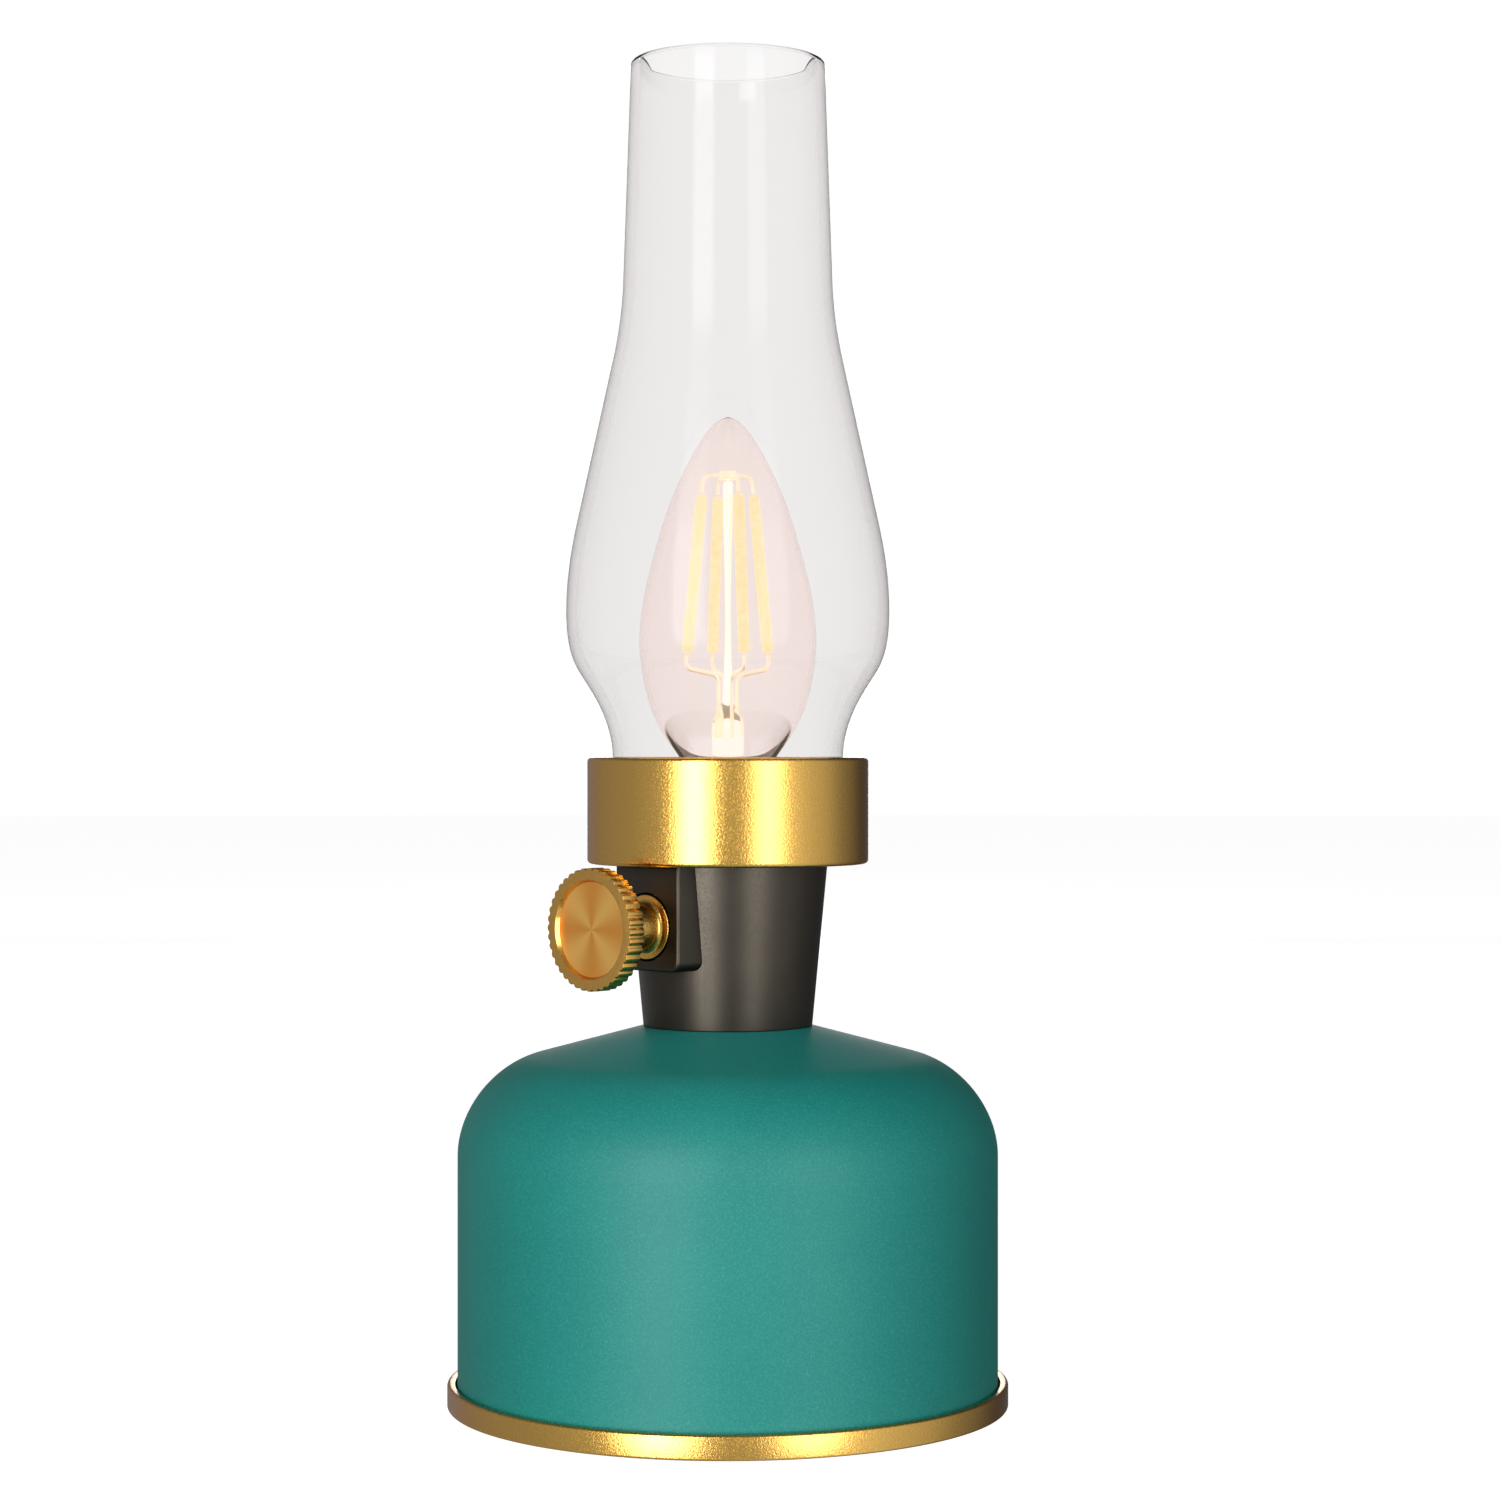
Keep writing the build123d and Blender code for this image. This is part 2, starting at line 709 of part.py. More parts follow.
with BuildPart() as cradle_screws:
    with BuildSketch(Plane.XY.offset(z_flange + cradle_screw_setback)):
        with Locations((0, cradle_mid_y)):
            with GridLocations(2 * cradle_hole_x, 1, 2, 1):
                Circle(m2_shank)
    extrude(amount=z_cradle - z_flange - cradle_screw_setback)
    with BuildSketch(Plane.XY.offset(z_cradle)):
        with Locations((0, cradle_mid_y)):
            with GridLocations(2 * cradle_hole_x, 1, 2, 1):
                Circle(m3_shank)
    extrude(amount=m2_head_height)
cradle_screws.part.label = "cradle_screws"
export_step(cradle_screws.part, "parts/cradle_screws.step")

strap_outer = cell_radius + strap_thickness
with BuildPart() as battery_strap:
    with BuildSketch(cell_plane.offset(-strap_width / 2)):
        with Locations((cell_y, 0), (cell_y + cell_pitch, 0)):
            Circle(strap_outer + skin)
        with Locations((cradle_mid_y, strap_outer / 2)):
            Rectangle(cell_pitch, strap_outer)
        with Locations((cell_y, 0), (cell_y + cell_pitch, 0)):
            Circle(cell_radius + skin, mode=Mode.SUBTRACT)
        with Locations((cradle_mid_y, cell_radius / 2)):
            Rectangle(cell_pitch, cell_radius, mode=Mode.SUBTRACT)
    extrude(amount=strap_width)
    with BuildSketch(Plane.XY.offset(z_plate)):
        with Locations((0, cradle_mid_y)):
            Rectangle(2 * inner_radius, 2 * inner_radius)
    extrude(amount=z_cradle - z_plate, mode=Mode.SUBTRACT)
battery_strap.part.label = "battery_strap"
export_step(battery_strap.part, "parts/battery_strap.step")

with BuildPart() as battery_tabs:
    with BuildSketch(cell_plane.offset(-cell_half)):
        with Locations((cradle_mid_y, (tab_rise - tab_drop) / 2)):
            with GridLocations(cell_pitch, 1, 2, 1):
                Rectangle(tab_width, tab_rise + tab_drop)
    extrude(amount=-tab_thickness)
    with BuildSketch(cell_plane.offset(cell_half)):
        with Locations((cradle_mid_y, bus_rise)):
            Rectangle(cell_pitch + tab_width, bus_height)
    extrude(amount=tab_thickness)
battery_tabs.part.label = "battery_tabs"
export_step(battery_tabs.part, "parts/battery_tabs.step")

# ---------------------------------------------------------------- neck
with BuildPart() as neck_housing:
    with BuildSketch(Plane.XZ):
        with BuildLine():
            Polyline(
                (0, z_spigot), (spigot_radius, z_spigot), (spigot_radius, z_shell),
                (neck_foot_radius, z_shell), (neck_top_radius, z_neck), (0, z_neck), close=True,
            )
        make_face()
    revolve(axis=Axis.Z)
    with BuildSketch(knob_level(boss_front)) as boss_outline:
        with Locations((0, (boss_drop - boss_under) / 2)):
            Rectangle(boss_width, boss_drop + boss_under)
        fillet(boss_outline.vertices().group_by(Axis.Z)[0], boss_corner)
    extrude(amount=-boss_front)
    fillet(neck_housing.faces().sort_by(Axis.Y)[0].edges(), boss_edge)
    with BuildSketch(Plane.XZ):
        with BuildLine():
            Polyline(
                (0, z_shell + neck_floor), (neck_foot_radius - neck_wall, z_shell + neck_floor),
                (neck_top_radius - neck_wall, z_neck), (0, z_neck), close=True,
            )
        make_face()
    revolve(axis=Axis.Z, mode=Mode.SUBTRACT)
    with BuildSketch(Plane.XY.offset(z_neck)):
        with PolarLocations(neck_screw_ring, neck_screw_count, start_angle=neck_screw_start):
            Circle(neck_screw_boss)
    extrude(amount=-neck_screw_boss_length)
    with BuildSketch(Plane.XY.offset(z_neck)):
        with PolarLocations(neck_screw_ring, neck_screw_count, start_angle=neck_screw_start):
            Circle(m3_shank + slip)
    extrude(amount=-neck_screw_bore, mode=Mode.SUBTRACT)
    with BuildSketch(Plane.XY.offset(z_spigot)):
        Circle(spigot_bore)
    extrude(amount=z_shell + neck_floor - z_spigot, mode=Mode.SUBTRACT)
    with BuildSketch(knob_level(pot_face)):
        Rectangle(pot_width + 2 * ease, pot_height + 2 * ease)
    extrude(amount=-pot_face, mode=Mode.SUBTRACT)
    with BuildSketch(knob_level(boss_front)):
        Circle(recess_radius)
    extrude(amount=-recess_depth, mode=Mode.SUBTRACT)
    with BuildSketch(knob_level(boss_front)):
        Circle(bushing_radius + slip)
    extrude(amount=pot_back - boss_front, mode=Mode.SUBTRACT)
neck_housing.part.label = "neck_housing"
export_step(neck_housing.part, "parts/neck_housing.step")

with BuildPart() as neck_washer:
    with BuildSketch(Plane.XY.offset(z_shell_roof)):
        Circle(neck_washer_radius)
        Circle(spigot_radius + slip, mode=Mode.SUBTRACT)
    extrude(amount=-neck_washer_thickness)
neck_washer.part.label = "neck_washer"
export_step(neck_washer.part, "parts/neck_washer.step")

with BuildPart() as neck_nut:
    with BuildSketch(Plane.XY.offset(z_shell_roof - neck_washer_thickness)):
        RegularPolygon(neck_nut_flats / 2, 6, major_radius=False)
        Circle(spigot_radius + slip, mode=Mode.SUBTRACT)
    extrude(amount=-neck_nut_height)
neck_nut.part.label = "neck_nut"
export_step(neck_nut.part, "parts/neck_nut.step")

# ---------------------------------------------------------------- dimmer
with BuildPart() as dimmer_body:
    with BuildSketch(knob_level(pot_face)):
        Rectangle(pot_width, pot_height)
    extrude(amount=wafer_thickness - pot_depth)
    fillet(dimmer_body.edges().filter_by(Axis.Y), pot_edge)
    with BuildSketch(knob_level(pot_back + wafer_thickness)):
        Circle(pot_width / 2 - pot_wall)
    extrude(amount=pot_depth - wafer_thickness - pot_wall, mode=Mode.SUBTRACT)
    with BuildSketch(knob_level(pot_face)):
        Circle(bushing_radius + slip)
    extrude(amount=-pot_depth, mode=Mode.SUBTRACT)
dimmer_body.part.label = "dimmer_body"
export_step(dimmer_body.part, "parts/dimmer_body.step")

with BuildPart() as dimmer_bushing:
    with BuildSketch(knob_level(pot_face - pot_wall)):
        Circle(bushing_radius)
    extrude(amount=bushing_length + pot_wall)
    with BuildSketch(knob_level(pot_face - pot_wall)):
        Circle(pot_width / 2 - pot_wall - slip)
    extrude(amount=-bushing_head)
    with BuildSketch(knob_level(pot_back)):
        Circle(shaft_radius + slip)
    extrude(amount=boss_front, mode=Mode.SUBTRACT)
dimmer_bushing.part.label = "dimmer_bushing"
export_step(dimmer_bushing.part, "parts/dimmer_bushing.step")

with BuildPart() as dimmer_wafer:
    with BuildSketch(knob_level(pot_back)):
        Rectangle(pot_width, pot_height)
    extrude(amount=wafer_thickness)
    with BuildSketch(knob_level(pot_back + wafer_thickness)):
        Circle(wiper_radius)
        Circle(wiper_radius - track_width, mode=Mode.SUBTRACT)
    extrude(amount=track_thickness)
dimmer_wafer.part.label = "dimmer_wafer"
export_step(dimmer_wafer.part, "parts/dimmer_wafer.step")

pin_foot = -pot_height / 2 - terminal_reach     # the terminals' feet, from the knob's axis
with BuildPart() as dimmer_terminals:
    with BuildSketch(knob_level(pot_back)):
        with Locations((0, (terminal_rise + pin_foot) / 2)):
            with GridLocations(terminal_pitch, 1, 3, 1):
                Rectangle(terminal_width, terminal_rise - pin_foot)
    extrude(amount=-terminal_thickness)
dimmer_terminals.part.label = "dimmer_terminals"
export_step(dimmer_terminals.part, "parts/dimmer_terminals.step")

with BuildPart() as dimmer_washer:
    with BuildSketch(knob_level(recess_floor)):
        Circle(recess_radius - washer_gap)
        Circle(bushing_radius + slip, mode=Mode.SUBTRACT)
    extrude(amount=washer_thickness)
dimmer_washer.part.label = "dimmer_washer"
export_step(dimmer_washer.part, "parts/dimmer_washer.step")

with BuildPart() as dimmer_nut:
    with BuildSketch(knob_level(recess_floor + washer_thickness)):
        RegularPolygon(dimmer_nut_flats / 2, 6, major_radius=False)
        Circle(bushing_radius + slip, mode=Mode.SUBTRACT)
    extrude(amount=dimmer_nut_height)
dimmer_nut.part.label = "dimmer_nut"
export_step(dimmer_nut.part, "parts/dimmer_nut.step")

wiper_face = pot_back + wafer_thickness + wiper_gap
wiper_back = wiper_face + wiper_thickness
with BuildPart() as dimmer_wiper:
    with BuildSketch(knob_level(wiper_face)):
        Circle(wiper_radius)
        Circle(shaft_radius - shaft_journal + slip, mode=Mode.SUBTRACT)
    extrude(amount=wiper_back - wiper_face)
    with BuildSketch(knob_level(wiper_face)):
        with PolarLocations(wiper_radius - brush_inset, 2):
            Circle(brush_radius)
    extrude(amount=-brush_reach)
dimmer_wiper.part.label = "dimmer_wiper"
export_step(dimmer_wiper.part, "parts/dimmer_wiper.step")

with BuildPart() as dimmer_shaft:
    with BuildSketch(knob_level(wiper_back)):
        Circle(shaft_radius)
    extrude(amount=shaft_end - wiper_back)
    with BuildSketch(knob_level(wiper_face)):
        Circle(shaft_radius - shaft_journal)
    extrude(amount=wiper_back - wiper_face)
    with BuildSketch(knob_level(stem_back + flat_start)):
        with Locations((0, -shaft_flat - shaft_radius)):
            Rectangle(3 * shaft_radius, 2 * shaft_radius)
    extrude(amount=shaft_end, mode=Mode.SUBTRACT)
    chamfer(dimmer_shaft.edges().group_by(Axis.Y)[0].filter_by(GeomType.CIRCLE), shaft_edge)
dimmer_shaft.part.label = "dimmer_shaft"
export_step(dimmer_shaft.part, "parts/dimmer_shaft.step")

# ---------------------------------------------------------------- knob
grub_plane = Plane(origin=(0, -grub_reach, z_knob), x_dir=(1, 0, 0), z_dir=(0, 0, -1))
with BuildPart() as knob_stem:
    with BuildSketch(Plane.YZ):
        with BuildLine():
            Polyline(
                (-stem_back - stem_flange_thickness - stem_cove, z_knob + stem_radius),
                (-knob_back, z_knob + stem_radius), (-knob_back, z_knob + stem_spigot_radius),
                (-knob_back - stem_spigot_length, z_knob + stem_spigot_radius),
                (-knob_back - stem_spigot_length, z_knob), (-stem_back, z_knob),
                (-stem_back, z_knob + stem_flange_radius),
                (-stem_back - stem_flange_thickness, z_knob + stem_flange_radius),
                (-stem_back - stem_flange_thickness, z_knob + stem_radius + stem_cove),
            )
            RadiusArc(
                (-stem_back - stem_flange_thickness, z_knob + stem_radius + stem_cove),
                (-stem_back - stem_flange_thickness - stem_cove, z_knob + stem_radius), stem_cove,
            )
        make_face()
    revolve(axis=Axis(origin=(0, 0, z_knob), direction=(0, 1, 0)))
    with BuildSketch(knob_level(stem_back)):
        Circle(shaft_radius + slip)
    extrude(amount=shaft_end - stem_back + shaft_end_gap, mode=Mode.SUBTRACT)
    with BuildSketch(grub_plane):
        Circle(m3_shank + slip)
    extrude(amount=stem_flange_radius, mode=Mode.SUBTRACT)
knob_stem.part.label = "knob_stem"
export_step(knob_stem.part, "parts/knob_stem.step")

with BuildPart() as knob_grub_screw:
    with BuildSketch(grub_plane.offset(shaft_flat + skin)):
        Circle(m3_shank)
    extrude(amount=stem_radius - grub_sink - shaft_flat - skin)
    with BuildSketch(grub_plane.offset(stem_radius - grub_sink)):
        RegularPolygon(drive_radius, 6)
    extrude(amount=-drive_depth, mode=Mode.SUBTRACT)
knob_grub_screw.part.label = "knob_grub_screw"
export_step(knob_grub_screw.part, "parts/knob_grub_screw.step")

with BuildPart() as knob_disc:
    with BuildSketch(knob_level(knob_back)):
        Circle(knob_radius)
        with PolarLocations(knob_radius - tooth_cut_depth + tooth_cut_radius, knob_teeth):
            Circle(tooth_cut_radius, mode=Mode.SUBTRACT)
        Circle(stem_spigot_radius + slip, mode=Mode.SUBTRACT)
    extrude(amount=knob_thickness)
    with BuildSketch(knob_level(knob_reach)):
        Circle(dish_radius)
    extrude(amount=-dish_depth - face_thickness, mode=Mode.SUBTRACT)
knob_disc.part.label = "knob_disc"
export_step(knob_disc.part, "parts/knob_disc.step")

with BuildPart() as knob_face:
    with BuildSketch(knob_level(knob_reach - dish_depth)):
        Circle(dish_radius - slip)
    extrude(amount=-face_thickness)
knob_face.part.label = "knob_face"
export_step(knob_face.part, "parts/knob_face.step")

# ---------------------------------------------------------------- gallery
with BuildPart() as gallery_floor:
    with BuildSketch(Plane.XY.offset(z_neck)):
        Circle(band_inner - gallery_floor_gap)
        Circle(holder_radius + ease, mode=Mode.SUBTRACT)
        with PolarLocations(neck_screw_ring, neck_screw_count, start_angle=neck_screw_start):
            Circle(m3_shank + slip, mode=Mode.SUBTRACT)
        with PolarLocations(holder_screw_ring, 2):
            Circle(m2_shank + slip, mode=Mode.SUBTRACT)
    extrude(amount=gallery_floor_thickness)
    with BuildSketch(Plane.XY.offset(z_floor)):
        with PolarLocations(neck_screw_ring, neck_screw_count, start_angle=neck_screw_start):
            Circle(m3_head + slip)
    extrude(amount=-m3_sink, taper=45, mode=Mode.SUBTRACT)
gallery_floor.part.label = "gallery_floor"
export_step(gallery_floor.part, "parts/gallery_floor.step")

with BuildPart() as gallery_screws:
    with BuildSketch(Plane.XY.offset(z_floor)):
        with PolarLocations(neck_screw_ring, neck_screw_count, start_angle=neck_screw_start):
            Circle(m3_head)
    extrude(amount=-m3_sink, taper=45)
    with BuildSketch(Plane.XY.offset(z_floor)):
        with PolarLocations(neck_screw_ring, neck_screw_count, start_angle=neck_screw_start):
            Circle(m3_shank)
    extrude(amount=-neck_screw_length)
    with BuildSketch(Plane.XY.offset(z_floor)):
        with PolarLocations(neck_screw_ring, neck_screw_count, start_angle=neck_screw_start):
            RegularPolygon(drive_radius, 6)
    extrude(amount=-drive_depth, mode=Mode.SUBTRACT)
gallery_screws.part.label = "gallery_screws"
export_step(gallery_screws.part, "parts/gallery_screws.step")

with BuildPart() as gallery_band:
    with BuildSketch(Plane.XY.offset(z_neck)):
        Circle(gallery_radius)
    extrude(amount=gallery_height)
    fillet(gallery_band.edges().filter_by(GeomType.CIRCLE), gallery_edge)
    with BuildSketch(Plane.XY.offset(z_neck)):
        Circle(band_inner)
    extrude(amount=gallery_height - gallery_lip, mode=Mode.SUBTRACT)
    with BuildSketch(Plane.XY.offset(z_band)):
        Circle(lip_radius)
    extrude(amount=-gallery_lip, mode=Mode.SUBTRACT)
gallery_band.part.label = "gallery_band"
export_step(gallery_band.part, "parts/gallery_band.step")

with BuildPart() as chimney_seal:
    with BuildSketch(Plane.XY.offset(z_floor)):
        Circle(seal_outer)
        Circle(seal_inner, mode=Mode.SUBTRACT)
    extrude(amount=seal_height)
    with BuildSketch(Plane.XY.offset(z_floor + seal_floor)):
        Circle(seal_outer - seal_rim)
        Circle(seal_inner + seal_rim, mode=Mode.SUBTRACT)
    extrude(amount=seal_height, mode=Mode.SUBTRACT)
chimney_seal.part.label = "chimney_seal"
export_step(chimney_seal.part, "parts/chimney_seal.step")

# ---------------------------------------------------------------- glass chimney
belly_z = z_glass + belly_height
glass_top = z_glass + chimney_height
fitter = Vector(fitter_radius, z_glass)
shoulder = Vector(fitter_radius, z_glass + fitter_height)
cheek = Vector(belly_radius - cheek_inset, belly_z + cheek_rise)
throat = Vector(throat_radius, z_glass + throat_height)
rim = Vector(rim_radius, glass_top)
flank = (throat - cheek).normalized()
stack = (rim - throat).normalized()
throat_shift = (leftward(flank) + leftward(stack)) * (chimney_wall / (1 + flank.dot(stack)))

with BuildPart() as glass_chimney:
    with BuildSketch(Plane.XZ):
        with BuildLine():
            Line(fitter, shoulder)
            belly = Spline(
                shoulder, (belly_radius - belly_foot_inset, belly_z - belly_foot_drop),
                (belly_radius - belly_side_inset, belly_z - belly_side_drop), (belly_radius, belly_z), cheek,
                tangents=(Vector(0, 1), flank),
            )
            FilletPolyline(cheek, throat, rim, radius=throat_curve)
            FilletPolyline(
                cheek + leftward(flank) * chimney_wall, throat + throat_shift,
                (rim_radius - chimney_wall, glass_top), radius=throat_curve + chimney_wall,
            )
            Spline(
                *inner_face(belly, chimney_wall, 9), tangents=(Vector(0, 1), flank),
            )
            Polyline(
                shoulder - Vector(chimney_wall, 0), fitter - Vector(chimney_wall, 0), fitter,
            )
            Line((rim_radius - chimney_wall, glass_top), rim)
        make_face()
    revolve(axis=Axis.Z)
    fillet(glass_chimney.edges().group_by(Axis.Z)[-1], rim_edge)
glass_chimney.part.label = "glass_chimney"
export_step(glass_chimney.part, "parts/glass_chimney.step")

# ---------------------------------------------------------------- lampholder
with BuildPart() as lampholder_body:
    with BuildSketch(Plane.XZ):
        with BuildLine():
            Polyline(
                (0, z_holder), (holder_radius, z_holder), (holder_radius, z_floor),
                (holder_flange_radius, z_floor), (holder_flange_radius, z_floor + holder_flange_thickness),
                (holder_radius, z_floor + holder_flange_thickness), (holder_radius, z_holder_top),
                (holder_bore, z_holder_top), (holder_bore, z_holder_step),
                (holder_step_bore, z_holder_step), (holder_step_bore, z_holder_inside),
                (0, z_holder_inside), close=True,
            )
        make_face()
    revolve(axis=Axis.Z)
    with BuildSketch(Plane.XY.offset(z_holder)):
        Circle(rivet_radius + slip)
        with PolarLocations(holder_screw_ring, 2):
            Circle(m2_shank + slip)
    extrude(amount=z_floor + holder_flange_thickness - z_holder, mode=Mode.SUBTRACT)
lampholder_body.part.label = "lampholder_body"
export_step(lampholder_body.part, "parts/lampholder_body.step")

with BuildPart() as lampholder_screws:
    with BuildSketch(Plane.XY.offset(z_floor + holder_flange_thickness)):
        with PolarLocations(holder_screw_ring, 2):
            Circle(holder_screw_head)
    extrude(amount=holder_screw_head_height)
    with BuildSketch(Plane.XY.offset(z_floor + holder_flange_thickness)):
        with PolarLocations(holder_screw_ring, 2):
            Circle(m2_shank)
    extrude(amount=-holder_screw_length)
    with BuildSketch(Plane.XY.offset(z_floor + holder_flange_thickness + holder_screw_head_height)):
        with PolarLocations(holder_screw_ring, 2):
            RegularPolygon(drive_radius, 6)
    extrude(amount=-drive_depth, mode=Mode.SUBTRACT)
lampholder_screws.part.label = "lampholder_screws"
export_step(lampholder_screws.part, "parts/lampholder_screws.step")

shell_tube_inner = cap_tube_radius + thread_gap
shell_tube_outer = shell_tube_inner + cap_wall
shell_thread_length = cap_thread_length - thread_runout
skirt_inner = cap_tube_radius + thread_offset + skirt_gap
skirt_outer = skirt_inner + cap_wall + skirt_extra
with BuildPart() as lampholder_screw_shell:
    with BuildLine(Plane.XY.offset(z_thread)) as holder_helix:
        Helix(pitch=thread_pitch, height=shell_thread_length, radius=thread_offset)
    with BuildSketch(Plane(origin=holder_helix.line @ 0, z_dir=(0, 0, 1))):
        Circle(shell_tube_outer)
        Circle(shell_tube_inner, mode=Mode.SUBTRACT)
    sweep(path=holder_helix.line, normal=(0, 0, 1))
    with BuildSketch(Plane.XY.offset(z_holder_step)):
        Circle(skirt_outer)
        Circle(skirt_inner, mode=Mode.SUBTRACT)
    extrude(amount=z_thread - z_holder_step)
    with BuildSketch(Plane.XY.offset(z_holder_step)):
        Circle(holder_bore - slip)
        Circle(skirt_inner, mode=Mode.SUBTRACT)
    extrude(amount=cap_wall)
lampholder_screw_shell.part.label = "lampholder_screw_shell"
export_step(lampholder_screw_shell.part, "parts/lampholder_screw_shell.step")

with BuildPart() as lampholder_contact:
    with BuildSketch(Plane.XZ.offset(-strip_width / 2)):
        with BuildLine():
            Polyline(
                (-strip_foot, z_holder_inside), (strip_foot, z_holder_inside),
                (strip_top, z_contact - slip), (-strip_top, z_contact - slip), close=True,
            )
            Polyline(
                (-strip_inner_foot, z_holder_inside + strip_thickness),
                (strip_inner_foot, z_holder_inside + strip_thickness),
                (strip_inner_top, z_contact - slip - strip_thickness),
                (-strip_inner_top, z_contact - slip - strip_thickness), close=True,
            )
        make_face()
    extrude(amount=strip_width)
    with BuildSketch(Plane.XY.offset(z_holder_inside)):
        Circle(rivet_radius)
    extrude(amount=-holder_floor)
lampholder_contact.part.label = "lampholder_contact"
export_step(lampholder_contact.part, "parts/lampholder_contact.step")

z_holder_terminal = z_holder - holder_terminal_height
with BuildPart() as lampholder_terminals:
    with BuildSketch(Plane.XY.offset(z_holder)):
        with Locations((0, holder_terminal_y)):
            with GridLocations(2 * holder_terminal_x, 1, 2, 1):
                RectangleRounded(holder_terminal_size, holder_terminal_size, holder_terminal_corner)
    extrude(amount=-holder_terminal_height)
lampholder_terminals.part.label = "lampholder_terminals"
export_step(lampholder_terminals.part, "parts/lampholder_terminals.step")

# ---------------------------------------------------------------- leads
z_lead_entry = z_spigot - lead_below_spigot
z_lead_exit = z_shell + lead_above_shell
with BuildPart() as lamp_leads:
    for side in (-1, 1):
        lead_x = lamp_lead_x * side
        with BuildLine() as lamp_lead:
            FilletPolyline(
                (lead_x, header_y, z_header), (lead_x, header_y, z_header + lamp_lead_rise),
                (lead_x + lamp_lead_shift, lamp_lead_y, z_lead_entry),
                (lead_x + lamp_lead_shift, lamp_lead_y, z_lead_exit),
                (holder_terminal_x * side, holder_terminal_y, z_holder_terminal - lamp_lead_end),
                (holder_terminal_x * side, holder_terminal_y, z_holder_terminal),
                radius=(lead_bend, lead_bend, lead_neck_bend, lead_end_bend),
            )
        with BuildSketch(Plane(origin=lamp_lead.line @ 0, z_dir=lamp_lead.line % 0)):
            Circle(lead_radius)
        sweep(path=lamp_lead.line)
lamp_leads.part.label = "lamp_leads"
export_step(lamp_leads.part, "parts/lamp_leads.step")

pin_y = dimmer_lead_stand - pot_back + terminal_thickness / 2
with BuildPart() as dimmer_leads:
    for step in (-1, 0, 1):
        with BuildLine() as dimmer_lead:
            FilletPolyline(
                (header_pitch + dimmer_lead_pitch * step, header_y, z_header),
                (header_pitch + dimmer_lead_pitch * step, header_y, z_header + dimmer_lead_rise),
                (dimmer_lead_neck_pitch * step + dimmer_lead_shift, dimmer_lead_y, z_lead_entry),
                (dimmer_lead_neck_pitch * step + dimmer_lead_shift, dimmer_lead_y, z_lead_exit),
                (terminal_pitch * step, pin_y, z_knob + pin_foot - dimmer_lead_end),
                (terminal_pitch * step, pin_y, z_knob + pin_foot + dimmer_lead_grip),
                radius=(lead_bend, lead_bend, lead_neck_bend, lead_fine_bend),
            )
        with BuildSketch(Plane(origin=dimmer_lead.line @ 0, z_dir=dimmer_lead.line % 0)):
            Circle(lead_radius)
        sweep(path=dimmer_lead.line)
dimmer_leads.part.label = "dimmer_leads"
export_step(dimmer_leads.part, "parts/dimmer_leads.step")

battery_lead_x = -cell_half - tab_thickness - lead_radius - skin
z_tab = z_cell + tab_rise
with BuildPart() as battery_leads:
    for side in (0, 1):
        tab_y = cell_y + cell_pitch * (1 - side)
        lift = z_tab + battery_lead_rise + battery_lead_step * side
        reach = battery_lead_pitch * (side - 0.5) - header_pitch
        with BuildLine() as battery_lead:
            FilletPolyline(
                (battery_lead_x, tab_y, z_tab - battery_lead_grip), (battery_lead_x, tab_y, lift),
                (reach, header_y, lift), (reach, header_y, z_header),
                radius=battery_lead_bend,
            )
        with BuildSketch(Plane(origin=battery_lead.line @ 0, z_dir=battery_lead.line % 0)):
            Circle(lead_radius)
        sweep(path=battery_lead.line)
battery_leads.part.label = "battery_leads"
export_step(battery_leads.part, "parts/battery_leads.step")

# ---------------------------------------------------------------- bulb
cap_minor = cap_tube_radius - thread_offset
with BuildPart() as bulb_contact:
    with BuildSketch(Plane.XY.offset(z_contact)):
        Circle(contact_radius)
    extrude(amount=contact_height)
    fillet(bulb_contact.edges().group_by(Axis.Z)[0], contact_edge)
bulb_contact.part.label = "bulb_contact"
export_step(bulb_contact.part, "parts/bulb_contact.step")

with BuildPart() as bulb_cap_insulator:
    with BuildSketch(Plane.XZ):
        with BuildLine():
            Polyline(
                (0, z_contact + contact_height), (contact_radius + slip, z_contact + contact_height),
                (contact_radius + slip, z_cap - insulator_height),
                (contact_radius + insulator_lip, z_cap - insulator_height),
                (cap_minor - panel_gap / 2, z_cap - cap_wall), (0, z_cap - cap_wall), close=True,
            )
        make_face()
    revolve(axis=Axis.Z)
bulb_cap_insulator.part.label = "bulb_cap_insulator"
export_step(bulb_cap_insulator.part, "parts/bulb_cap_insulator.step")

with BuildPart() as bulb_cap:
    with BuildLine(Plane.XY.offset(z_cap)) as cap_helix:
        Helix(pitch=thread_pitch, height=cap_thread_length, radius=thread_offset)
    with BuildSketch(Plane(origin=cap_helix.line @ 0, z_dir=(0, 0, 1))):
        Circle(cap_tube_radius)
        Circle(cap_tube_radius - cap_wall, mode=Mode.SUBTRACT)
    sweep(path=cap_helix.line, normal=(0, 0, 1))
    with BuildSketch(Plane.XY.offset(z_cap_top)):
        Circle(collar_radius)
        Circle(cap_minor - 2 * cap_wall, mode=Mode.SUBTRACT)
    extrude(amount=collar_floor)
    with BuildSketch(Plane.XY.offset(z_cap_top + collar_floor)):
        Circle(collar_radius)
        Circle(collar_radius - cap_wall, mode=Mode.SUBTRACT)
    extrude(amount=collar_height - collar_floor)
    with BuildSketch(Plane.XY.offset(z_cap)):
        with Locations((thread_offset, 0)):
            Circle(cap_tube_radius - cap_end_inset)
        Circle(cap_eye_radius, mode=Mode.SUBTRACT)
    extrude(amount=-cap_wall)
bulb_cap.part.label = "bulb_cap"
export_step(bulb_cap.part, "parts/bulb_cap.step")

